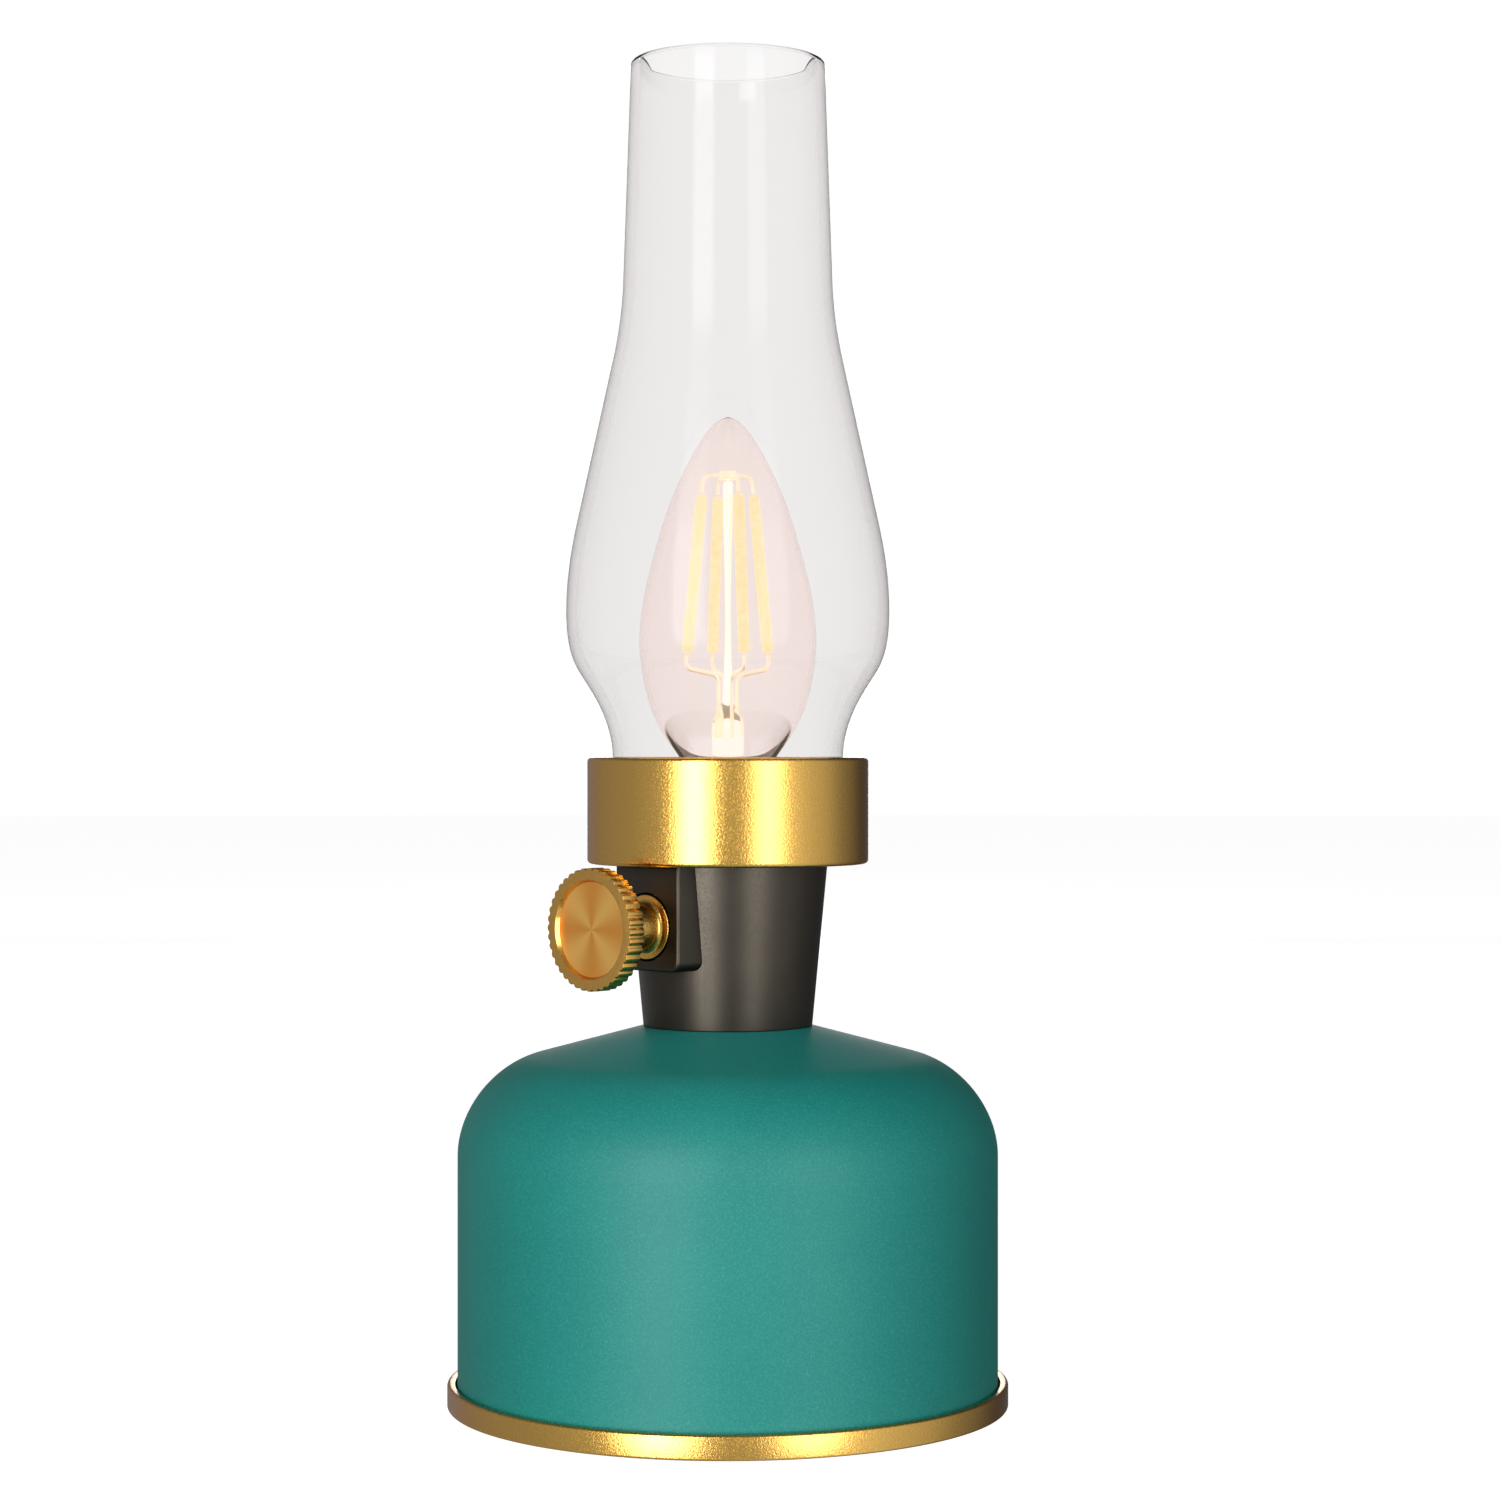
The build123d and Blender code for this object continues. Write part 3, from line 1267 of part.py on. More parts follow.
neck_glass_z = z_cap_top + bulb_neck_rise
z_bulb_belly = z_contact + bulb_belly_share * bulb_height
bulb_root = Vector(bulb_neck_radius, z_collar)
# points of the candle shape, as a radius and how far it lies below the tip
candle_foot = [(9.64, 66.5), (13.1, 61.3), (16.4, 52.3)]
candle_flame = [(15.05, 28.7), (8.26, 9.8), (3.94, 2.7)]
with BuildPart() as bulb_envelope:
    with BuildSketch(Plane.XZ):
        with BuildLine():
            Line((bulb_neck_radius, neck_glass_z), bulb_root)
            candle = Spline(
                bulb_root, *[(radius, z_tip - drop) for radius, drop in candle_foot],
                (bulb_radius, z_bulb_belly), *[(radius, z_tip - drop) for radius, drop in candle_flame],
                (0, z_tip), tangents=(bulb_flare, (-1, 0)),
            )
            Spline(*inner_face(candle, glass_wall, 13), tangents=(bulb_flare, (-1, 0)))
            Line((0, z_tip), (0, z_tip - glass_wall))
            Polyline(
                inner_face(candle, glass_wall, 2)[0], (bulb_neck_radius - glass_wall, neck_glass_z),
                (bulb_neck_radius, neck_glass_z),
            )
        make_face()
    revolve(axis=Axis.Z)
bulb_envelope.part.label = "bulb_envelope"
export_step(bulb_envelope.part, "parts/bulb_envelope.step")

z_filament = z_contact + filament_base
z_filament_top = z_filament + filament_length
z_top_link = z_filament_top + link_rise
z_bottom_link = z_filament - link_drop
z_stem_top = z_top_link + stem_top_rise
z_press = z_filament - lead_in_depth
z_stem_tip = z_top_link - stem_tip_drop
stem_skirt_radius = bulb_neck_radius - glass_wall - slip
with BuildPart() as bulb_stem:
    with BuildSketch(Plane.XZ):
        with BuildLine():
            Polyline(
                (0, neck_glass_z), (stem_skirt_radius, neck_glass_z),
                (stem_skirt_radius, neck_glass_z + stem_skirt_height),
                (stem_waist_radius, neck_glass_z + stem_waist_rise),
                (stem_press_radius, z_press - stem_press_run), (stem_rod_foot, z_press),
                (stem_rod_radius, z_stem_tip - stem_tip_drop), (stem_tip_radius, z_stem_tip),
                (stem_tip_radius, z_stem_top), (0, z_stem_top), close=True,
            )
        make_face()
    revolve(axis=Axis.Z)
    with BuildSketch(Plane.XY.offset(z_press)):
        with PolarLocations(lead_in_ring, filament_count, start_angle=filament_turn):
            Circle(wire_radius + slip)
    extrude(amount=-lead_in_depth, mode=Mode.SUBTRACT)
bulb_stem.part.label = "bulb_stem"
export_step(bulb_stem.part, "parts/bulb_stem.step")

filament_run = filament_bottom_ring - filament_top_ring
for index in range(filament_count):
    azimuth = filament_turn + 360 / filament_count * index
    heading = Vector(cos(radians(azimuth)), sin(radians(azimuth)), 0)
    foot = heading * filament_bottom_ring + Vector(0, 0, z_filament)
    head = heading * filament_top_ring + Vector(0, 0, z_filament_top)
    with BuildPart() as filament:
        with BuildSketch(Plane(origin=foot, z_dir=head - foot)):
            Circle(filament_radius)
        extrude(amount=(head - foot).length)
        fillet(filament.edges().filter_by(GeomType.CIRCLE), filament_edge)
    filament.part.label = f"filament_{index + 1}"
    export_step(filament.part, f"parts/filament_{index + 1}.step")


def spoke(azimuth, radius, height):
    """A point at this azimuth, distance from the axis and height."""
    return Vector(radius * cos(radians(azimuth)), radius * sin(radians(azimuth)), height)


lean = filament_run / filament_length       # how much the sticks lean per millimetre of height
with BuildPart() as filament_links:
    for index in range(filament_count):
        azimuth = filament_turn + 360 / filament_count * index
        with BuildLine() as top_link:
            FilletPolyline(
                spoke(azimuth, filament_top_ring, z_filament_top),
                spoke(azimuth, filament_top_ring - lean * link_rise, z_top_link),
                spoke(azimuth, 0, z_top_link + link_crown),
                radius=link_bend,
            )
        with BuildSketch(Plane(origin=top_link.line @ 0, z_dir=top_link.line % 0)):
            Circle(wire_radius)
        sweep(path=top_link.line)
        with BuildLine() as bottom_link:
            FilletPolyline(
                spoke(azimuth, filament_bottom_ring, z_filament),
                spoke(azimuth, filament_bottom_ring + lean * link_drop, z_bottom_link),
                spoke(azimuth, lead_in_ring, z_bottom_link - link_fall),
                spoke(azimuth, lead_in_ring, z_press - lead_in_depth + lead_in_end_gap),
                radius=(link_foot_bend, link_bend),
            )
        with BuildSketch(Plane(origin=bottom_link.line @ 0, z_dir=bottom_link.line % 0)):
            Circle(wire_radius)
        sweep(path=bottom_link.line)
    with BuildSketch(Plane.XY.offset(z_top_link - hub_drop)):
        Circle(hub_radius)
        Circle(hub_bore, mode=Mode.SUBTRACT)
    extrude(amount=hub_height)
filament_links.part.label = "filament_links"
export_step(filament_links.part, "parts/filament_links.step")
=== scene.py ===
# %% [markdown]
# # A table lamp in the form of an oil lamp
#
# The lamp stands in the CAD model as exact solids. This lesson gives it its looks: the visible
# pieces are modelled again with smooth surfaces and soft edges, and every piece gets a material
# that starts from what the real one is made of.

# %% Load the frame
from math import cos, pi, radians, sin, tan
import bmesh
import bpy
from mathutils import Matrix, Vector
from mathutils.geometry import interpolate_bezier


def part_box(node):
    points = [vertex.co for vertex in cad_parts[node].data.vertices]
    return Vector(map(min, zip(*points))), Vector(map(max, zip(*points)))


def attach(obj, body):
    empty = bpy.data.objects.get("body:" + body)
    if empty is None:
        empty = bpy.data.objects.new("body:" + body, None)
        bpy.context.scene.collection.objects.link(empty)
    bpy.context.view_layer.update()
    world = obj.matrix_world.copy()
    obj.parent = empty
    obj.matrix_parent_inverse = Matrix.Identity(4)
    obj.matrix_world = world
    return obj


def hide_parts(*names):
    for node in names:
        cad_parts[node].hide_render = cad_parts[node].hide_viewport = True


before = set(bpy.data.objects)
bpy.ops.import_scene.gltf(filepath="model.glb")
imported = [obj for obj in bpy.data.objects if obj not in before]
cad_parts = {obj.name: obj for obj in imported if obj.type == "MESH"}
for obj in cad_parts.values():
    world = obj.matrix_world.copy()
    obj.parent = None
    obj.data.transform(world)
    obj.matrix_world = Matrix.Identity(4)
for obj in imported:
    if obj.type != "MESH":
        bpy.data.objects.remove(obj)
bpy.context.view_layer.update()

# %% [markdown]
# ## Units and places
#
# Blender works in metres, and a lamp is thought of in millimetres, so `mm` turns one into the
# other. Places come from the CAD nodes' boxes, so that a new piece lies exactly where the solid is.

# %% Units, boxes and the knob's axis
mm = 0.001
TURN = 2 * pi


def low(node):
    """The lowest corner of a CAD node."""
    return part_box(node)[0]


def high(node):
    """The highest corner of a CAD node."""
    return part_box(node)[1]


knob_z = (low("knob_disc").z + high("knob_disc").z) / 2
knob_front = low("knob_disc").y
knob_back = high("knob_disc").y
neck_foot_z = high("base_shell").z
neck_top_z = high("neck_housing").z
bulb_tip_z = high("bulb_envelope").z
print("knob axis at", round(knob_z, 4), "bulb tip at", round(bulb_tip_z, 4))

# %% [markdown]
# ## Building blocks for meshes
#
# Nearly all of a lamp is turned on a lathe or spun: one outline goes round an axis. `turned`
# takes the outline's corners as radius, height and how much the corner is eased. It rounds the
# corners with a vertex bevel while the outline is still flat, which is far easier than finding
# the right edges afterwards, and then spins it.


# %% A finished mesh becomes a piece
def finish_mesh(mesh_data, name, material, body, stands_for=(), sharp=40):
    """Link a bmesh as a smooth-shaded piece that rides on a body."""
    mesh = bpy.data.meshes.new(name)
    mesh_data.to_mesh(mesh)
    mesh_data.free()
    mesh.shade_smooth()
    mesh.set_sharp_from_angle(angle=radians(sharp))
    piece = bpy.data.objects.new(name, mesh)
    bpy.context.scene.collection.objects.link(piece)
    mesh.materials.append(material)
    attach(piece, body)
    if stands_for:
        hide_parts(*stands_for)
    print(name, len(mesh.polygons), "faces")
    return piece


def tidy(mesh_data):
    """Merge what the spin left double, and turn every face outwards."""
    bmesh.ops.remove_doubles(mesh_data, verts=mesh_data.verts, dist=0.002 * mm)
    bmesh.ops.recalc_face_normals(mesh_data, faces=mesh_data.faces)


# %% Outlines and the lathe
def eased_outline(corners, closed=True, segments=6):
    """An outline in the XZ plane. A corner is (radius, height) or (radius, height, easing)."""
    mesh_data = bmesh.new()
    verts = [mesh_data.verts.new((corner[0], 0, corner[1])) for corner in corners]
    for a, b in zip(verts, verts[1:]):
        mesh_data.edges.new((a, b))
    if closed:
        mesh_data.edges.new((verts[-1], verts[0]))
        mesh_data.faces.new(verts)
    for vert, corner in zip(verts, corners):
        if len(corner) > 2 and corner[2] > 0:
            bmesh.ops.bevel(
                mesh_data, geom=[vert], offset=corner[2], offset_type="OFFSET", affect="VERTICES",
                segments=segments, profile=0.5, material=-1,
            )
    bmesh.ops.delete(mesh_data, geom=mesh_data.faces[:], context="FACES_ONLY")
    return mesh_data


def spin(mesh_data, steps=160, centre=(0, 0, 0), axis=(0, 0, 1)):
    """Take everything in the mesh once round an axis."""
    bmesh.ops.spin(
        mesh_data, geom=mesh_data.verts[:] + mesh_data.edges[:], cent=centre, axis=axis,
        angle=TURN, steps=steps, use_merge=True, use_duplicate=False,
    )
    tidy(mesh_data)
    return mesh_data


def turned(corners, steps=160, segments=6):
    """A closed outline spun about the lamp's axis."""
    return spin(eased_outline(corners, segments=segments), steps)


def lay_on_knob_axis(mesh_data):
    """Turn a piece made about +Z, from height 0 up, so that it points along the knob's axis."""
    turn = Matrix.Rotation(radians(90), 4, "X")
    place = Matrix.Translation((0, 0, knob_z)) @ turn
    bmesh.ops.transform(mesh_data, matrix=place, verts=mesh_data.verts[:])
    return mesh_data


# %% [markdown]
# Blown glass has no corners at all. Its outline is a chain of points with a slope at each, and
# Blender's own Bezier interpolation draws the smooth stretch between two of them.


# %% Flowing outlines for glass
def flowing_outline(stations, steps=12):
    """An open outline through (radius, height, slope) stations; slope is radius per height."""
    points = []
    for (r0, z0, s0), (r1, z1, s1) in zip(stations, stations[1:]):
        third = (z1 - z0) / 3
        points += interpolate_bezier(
            Vector((r0, 0, z0)), Vector((r0 + s0 * third, 0, z0 + third)),
            Vector((r1 - s1 * third, 0, z1 - third)), Vector((r1, 0, z1)), steps,
        )[:-1]
    r_end, z_end, _ = stations[-1]
    points.append(Vector((r_end, 0, z_end)))
    mesh_data = bmesh.new()
    verts = [mesh_data.verts.new(point) for point in points]
    for a, b in zip(verts, verts[1:]):
        mesh_data.edges.new((a, b))
    return mesh_data


def give_wall(piece, thickness, rim_width=0.0):
    """A wall inwards from the outer face, with its rims eased as a flame or a press leaves them."""
    solidify = piece.modifiers.new("wall", "SOLIDIFY")
    solidify.thickness = thickness
    solidify.offset = -1
    solidify.use_even_offset = True
    if rim_width:
        bevel = piece.modifiers.new("rim", "BEVEL")
        bevel.width = rim_width
        bevel.segments = 4
        bevel.limit_method = "ANGLE"
        bevel.angle_limit = radians(50)
    return piece


def block(size, centre):
    """A box of this size about this centre."""
    mesh_data = bmesh.new()
    bmesh.ops.create_cube(mesh_data, size=1)
    bmesh.ops.scale(mesh_data, vec=size, verts=mesh_data.verts[:])
    bmesh.ops.translate(mesh_data, vec=centre, verts=mesh_data.verts[:])
    return mesh_data


def ease(mesh_data, edges, width, segments):
    """Round these edges with a bevel."""
    bmesh.ops.bevel(
        mesh_data, geom=edges, offset=width, offset_type="OFFSET", affect="EDGES",
        segments=segments, profile=0.5, material=-1,
    )


def along_y(edge):
    """Whether an edge of a box runs from front to back."""
    return abs((edge.verts[0].co - edge.verts[1].co).y) > 1 * mm


def settle(piece, sharp=35):
    """Turn a piece's modifiers into its mesh."""
    bpy.context.view_layer.update()
    seen = piece.evaluated_get(bpy.context.evaluated_depsgraph_get())
    mesh = bpy.data.meshes.new_from_object(seen)
    piece.modifiers.clear()
    piece.data = mesh
    mesh.set_sharp_from_angle(angle=radians(sharp))
    return piece


def combine(piece, other, operation):
    """Cut another solid out of a piece, or join it on, and remove the helper."""
    step = piece.modifiers.new("combine", "BOOLEAN")
    step.operation = operation
    step.solver = "EXACT"
    step.object = other
    settle(piece)
    bpy.data.objects.remove(other)
    return piece


def helper_block(mesh_data, name):
    """A solid that is only used to cut or to join."""
    mesh = bpy.data.meshes.new(name)
    mesh_data.to_mesh(mesh)
    mesh_data.free()
    block = bpy.data.objects.new(name, mesh)
    bpy.context.scene.collection.objects.link(block)
    return block


# %% [markdown]
# ## Building blocks for materials
#
# One function adds a node, sets it and links it. Colours are written as sRGB hex, as a paint
# chart gives them, and turned to linear light in one place.


# %% Colour and node helpers
def rgb(code):
    """Linear RGBA of an sRGB hex colour."""
    channels = [int(code[i:i + 2], 16) / 255 for i in (1, 3, 5)]
    linear = [c / 12.92 if c <= 0.04045 else ((c + 0.055) / 1.055) ** 2.4 for c in channels]
    return (*linear, 1.0)


def add_node(material, kind, settings=None, **inputs):
    """Add a node. Settings are its properties; an input is a value, or a socket to link from."""
    node = material.node_tree.nodes.new(kind)
    for key, value in (settings or {}).items():
        setattr(node, key, value)
    for key, value in inputs.items():
        socket = node.inputs[int(key[1:]) if key[1:].isdigit() else key.replace("_", " ")]
        if isinstance(value, bpy.types.NodeSocket):
            material.node_tree.links.new(value, socket)
        else:
            socket.default_value = value
    return node


def calculate(material, operation, *values):
    """One Math node. A value is a number, or a socket to link from."""
    inputs = {f"_{index}": value for index, value in enumerate(values)}
    return add_node(material, "ShaderNodeMath", {"operation": operation}, **inputs).outputs[0]


def new_material(name):
    """A material with an empty node tree, and its output node."""
    material = bpy.data.materials.new(name)
    material.use_nodes = True
    material.node_tree.nodes.clear()
    return material


def finish_material(material, shader, inside=None):
    """Send a shader to the material's output, and what fills the solid, if anything."""
    output = add_node(material, "ShaderNodeOutputMaterial", Surface=shader)
    if inside:
        material.node_tree.links.new(inside, output.inputs["Volume"])
    print("material", material.name, len(material.node_tree.nodes), "nodes")
    return material


def grain(material, size, detail=2.0, roughness=0.5, stretch=None):
    """Noise whose lumps are about this size, in metres, on Object coordinates."""
    place = add_node(material, "ShaderNodeTexCoord").outputs["Object"]
    if stretch:
        place = add_node(
            material, "ShaderNodeMapping", Vector=place, Scale=stretch,
        ).outputs["Vector"]
    noise = add_node(
        material, "ShaderNodeTexNoise", Vector=place, Scale=1 / size, Detail=detail,
        Roughness=roughness,
    )
    return noise.outputs["Fac"]


def between(material, factor, low_value, high_value, from_low=0.3, from_high=0.7):
    """Map a value to a range. What isn't given is the span that most noise lies in."""
    return add_node(
        material, "ShaderNodeMapRange", Value=factor, From_Min=from_low, From_Max=from_high,
        To_Min=low_value, To_Max=high_value,
    ).outputs["Result"]


def lighter(colour, gain, lift=0.0):
    """A linear colour with its channels times a gain, plus a lift."""
    return (*(min(1, channel * gain + lift) for channel in colour[:3]), 1.0)


def blend_colours(material, factor, first, second):
    """Mix two colours by a factor."""
    mix = add_node(material, "ShaderNodeMix", {"data_type": "RGBA"}, _0=factor, _6=first, _7=second)
    return mix.outputs[2]


def bump(material, height, strength, depth):
    """Bump from a height; depth is how deep a full step is, in metres."""
    return add_node(
        material, "ShaderNodeBump", Height=height, Strength=strength, Distance=depth,
    ).outputs["Normal"]


# %% [markdown]
# ## Powder-coated steel
#
# The base is drawn steel with a baked powder coat. The powder melts into a skin that is matt from
# afar, with a fine orange-peel grain of about half a millimetre close up, and a slightly lighter
# dust where the grains stand proud.


# %% Teal powder coat
def make_powder_coat():
    """A matt teal skin with an orange-peel grain."""
    material = new_material("powder-coated steel")
    speck = grain(material, 0.38 * mm, detail=3.0, roughness=0.6)
    cloud = grain(material, 14 * mm, detail=2.0)
    tone = blend_colours(
        material, between(material, cloud, 0.0, 1.0), rgb("#0B847D"), rgb("#108880"),
    )
    dusted = blend_colours(
        material, between(material, speck, 0.0, 0.45, 0.45, 0.72), tone, rgb("#4BA9A0"),
    )
    shader = add_node(
        material, "ShaderNodeBsdfPrincipled", Base_Color=dusted,
        Roughness=between(material, speck, 0.48, 0.58), IOR=1.5, Specular_IOR_Level=0.44,
        Normal=bump(material, speck, 0.45, 0.06 * mm),
    )
    return finish_material(material, shader.outputs[0])


powder_coat = make_powder_coat()

# %% [markdown]
# ## Satin brass
#
# The band and the ring are turned brass, rubbed round and round with a fine abrasive and
# lacquered. The rubbing leaves hair-thin scratches that run round the piece, so the noise is
# stretched along the circumference by making it much finer in height. Loose specks where the
# scratches catch the light give the borders of a highlight their glitter.


# %% Brass
def make_brass(name, colour, dark, rough=0.24, speck_strength=0.45):
    """Lacquered brass with scratches that run round and specks that glitter."""
    material = new_material(name)
    hair = grain(material, 1.0 * mm, detail=2.0, stretch=(0.12, 0.12, 9.0))
    speck = grain(material, 0.40 * mm, detail=2.0, roughness=0.65)
    tone = blend_colours(material, between(material, speck, 0.0, 1.0), rgb(dark), rgb(colour))
    scratches = between(material, hair, 0, 0.18)
    height = calculate(material, "ADD", scratches, between(material, speck, 0, 1.0))
    normal = bump(material, height, speck_strength, 0.04 * mm)
    shader = add_node(
        material, "ShaderNodeBsdfPrincipled", Base_Color=tone, Metallic=1.0,
        Roughness=between(material, speck, rough - 0.05, rough + 0.05), Normal=normal,
        Specular_Tint=rgb("#D8A870"), Coat_Weight=1.0, Coat_Roughness=0.20, Coat_IOR=1.75,
        Coat_Normal=normal,
    )
    return finish_material(material, shader.outputs[0])


satin_brass = make_brass("satin brass", "#E6B43E", "#DCA836")
knurled_brass = make_brass("knurled brass", "#EFB53E", "#E4A834", rough=0.22, speck_strength=0.04)

# %% [markdown]
# The knob's face is turned on a lathe, so it is covered in fine rings, and a ringed disc throws
# its light back in fans. Here the four broad fans are a painted highlight: a lighter brass laid in
# the colour by the angle round the knob's axis. The rings themselves are a very slight bump.


# %% Spun brass with painted highlight fans
# How many painted highlight fans cross the knob's face: lighter brass in the colour, not reflected
# light.
PAINTED_FANS = 4.0


def make_spun_brass_painted_fans():
    """Brass faced on a lathe: fine rings, crossed by four painted highlight fans."""
    material = new_material("spun brass with painted fans")
    on_lamp = add_node(material, "ShaderNodeTexCoord").outputs["Object"]
    place = add_node(
        material, "ShaderNodeMapping", Vector=on_lamp, Location=(0, 0, -knob_z),
    ).outputs["Vector"]
    rings = add_node(
        material, "ShaderNodeTexWave",
        {"wave_type": "RINGS", "rings_direction": "Y", "wave_profile": "SIN"},
        Vector=place, Scale=1.0 / mm, Distortion=0.6, Detail=1.0,
    ).outputs["Fac"]
    split = add_node(material, "ShaderNodeSeparateXYZ", Vector=place)
    angle = calculate(material, "ARCTAN2", split.outputs["Z"], split.outputs["X"])
    wave = calculate(material, "COSINE", calculate(material, "MULTIPLY", angle, PAINTED_FANS))
    # Painted highlight: the colour turns lighter across four fans, set by the angle round the axis
    # alone.
    painted_fan_highlight = between(material, wave, 1.0, 0.0, -1.0, 1.0)
    ring_share = between(material, rings, 0, 1)
    ringed = blend_colours(material, ring_share, rgb("#F0A850"), rgb("#F2AB53"))
    tone = blend_colours(material, painted_fan_highlight, ringed, rgb("#FFCD74"))
    shader = add_node(
        material, "ShaderNodeBsdfPrincipled", Base_Color=tone, Metallic=1.0, Roughness=0.52,
        Normal=bump(material, rings, 0.03, 0.01 * mm),
    )
    return finish_material(material, shader.outputs[0])


spun_brass_painted_fans = make_spun_brass_painted_fans()


# %% [markdown]
# ## Dark gunmetal, steel, silicone and plastic
#
# The neck is a zinc casting with a satin gunmetal plating: nearly black, but a metal, so its
# highlight has the room's colour. The rest are the everyday finishes of screws, seals and
# mouldings. The sticks in the bulb light nothing here, so what lies next to them gets a faint
# glow of its own, which stands for the lamplight that it catches.


# %% Gunmetal and other plain finishes
LAMPLIGHT = "#FFE9C8"


def make_metal(name, colour, rough, bump_strength=0.05, glow=0.0):
    """A bare or plated metal, a little uneven in tone and gloss."""
    material = new_material(name)
    grit_noise = grain(material, 0.5 * mm, detail=3.0, roughness=0.6)
    wide = grain(material, 9 * mm, detail=2.0)
    base = rgb(colour)
    tone = blend_colours(material, between(material, wide, 0, 1), base, lighter(base, 1.12))
    shader = add_node(
        material, "ShaderNodeBsdfPrincipled", Base_Color=tone, Metallic=1.0,
        Roughness=between(material, grit_noise, rough - 0.05, rough + 0.05),
        Normal=bump(material, grit_noise, bump_strength, 0.03 * mm),
        Emission_Color=rgb(LAMPLIGHT), Emission_Strength=glow,
    )
    return finish_material(material, shader.outputs[0])


def make_moulded(name, colour, rough=0.5, bump_strength=0.12, ior=1.46):
    """A moulded, drawn or fired non-metal with a fine grain."""
    material = new_material(name)
    grit_noise = grain(material, 0.4 * mm, detail=2.0)
    base = rgb(colour)
    tone = blend_colours(
        material, between(material, grit_noise, 0, 1), base, lighter(base, 1.15, 0.002),
    )
    shader = add_node(
        material, "ShaderNodeBsdfPrincipled", Base_Color=tone,
        Roughness=between(material, grit_noise, rough - 0.06, rough + 0.06), IOR=ior,
        Normal=bump(material, grit_noise, bump_strength, 0.04 * mm),
    )
    return finish_material(material, shader.outputs[0])


gunmetal = make_metal("satin gunmetal plating", "#4A453E", 0.40, bump_strength=0.10)
zinc_steel = make_metal("zinc-plated steel", "#B4B6B8", 0.34)
screw_steel = make_metal("plated screw steel", "#8C8C8E", 0.30)
nickel = make_metal("nickel plating", "#D2CEC4", 0.18)
lit_wire = make_metal("nickel wire in the lamplight", "#E6DCCB", 0.45, glow=0.62)
spring_brass = make_metal("stamped spring brass", "#D6B469", 0.25)
capacitor_can = make_metal("drawn aluminium can", "#C4C6C8", 0.30)
silicone = make_moulded("moulded black silicone", "#1B1B1C", 0.62)
seal_silicone = make_moulded("moulded clear silicone", "#B9B6B0", 0.42, bump_strength=0.05)
black_plastic = make_moulded("textured black ABS", "#141415", 0.48, bump_strength=0.2)
holder_plastic = make_moulded("heat-resistant PET", "#CFCAC0", 0.42)
white_nylon = make_moulded("natural nylon", "#D8D4C8", 0.45)
dimmer_plastic = make_moulded("glass-filled nylon", "#232A3C", 0.46)
phenolic = make_moulded("phenolic laminate", "#6E3F1E", 0.5)
solder_mask = make_moulded("solder mask", "#0E4A2B", 0.28, bump_strength=0.05)
chip_epoxy = make_moulded("chip epoxy", "#1A1A1D", 0.55)
ferrite = make_moulded("sintered ferrite", "#2E2E30", 0.6)
cell_film = make_moulded("heat-shrunk film", "#2A5C9C", 0.25, bump_strength=0.03)
lead_rubber = make_moulded("silicone lead insulation", "#A32420", 0.5, bump_strength=0.03)
vitrite = make_moulded("black vitrite", "#0B0B0D", 0.12, bump_strength=0.02, ior=1.52)

# %% [markdown]
# ## Glass and light
#
# The chimney is clear soda-lime glass: an IOR of 1.5 and a wall with two faces, so that it
# bends and mirrors the room as a real one does. The melt itself takes a little light off, most
# at the edges, where the eye looks through more of it, so the edges come out a warm grey.


# %% Clear glass and the glowing sticks
def make_glass(name, tint, density, mirror="#FFFFFF", glow=0.0):
    """Clear glass whose melt absorbs light: most at a high density and where the tint is low."""
    material = new_material(name)
    shader = add_node(
        material, "ShaderNodeBsdfPrincipled", Base_Color=rgb("#FFFFFF"), Roughness=0.0, IOR=1.5,
        Transmission_Weight=1.0, Specular_Tint=rgb(mirror), Emission_Color=rgb(LAMPLIGHT),
        Emission_Strength=glow,
    )
    depth = add_node(material, "ShaderNodeVolumeAbsorption", Color=(*tint, 1.0), Density=density)
    return finish_material(material, shader.outputs[0], depth.outputs[0])


def make_phosphor():
    """The sticks' jacket, which glows a warm yellow."""
    material = new_material("phosphor-coated filament")
    dots = grain(material, 1.1 * mm, detail=1.0)
    tone = blend_colours(material, between(material, dots, 0, 1), rgb("#FFE9B0"), rgb("#FFF2C8"))
    shader = add_node(
        material, "ShaderNodeBsdfPrincipled", Base_Color=rgb("#8A6A30"), Roughness=0.6,
        Emission_Color=tone, Emission_Strength=1.0,
    )
    return finish_material(material, shader.outputs[0])


chimney_glass = make_glass("clear soda-lime glass", (0.50, 0.43, 0.40), 78, mirror="#8C8C8C")
# The bulb's glass and its stem glow faintly: painted lamplight, because the sticks light nothing.
bulb_glass = make_glass("bulb glass", (0.80, 0.18, 0.10), 110, mirror="#C0C0C0", glow=0.018)
stem_glass = make_glass("pressed stem glass", (0.95, 0.9, 0.8), 10, glow=0.18)
phosphor = make_phosphor()

# %% [markdown]
# ## The base
#
# The base is a drawn bell: a straight side, a shoulder of 20 mm radius and a cone that rises at
# 15 degrees to the neck. Its outline is spun as a thin skin, which then gets its 2 mm wall. The
# charging port's slot is cut through the back with a rounded block.

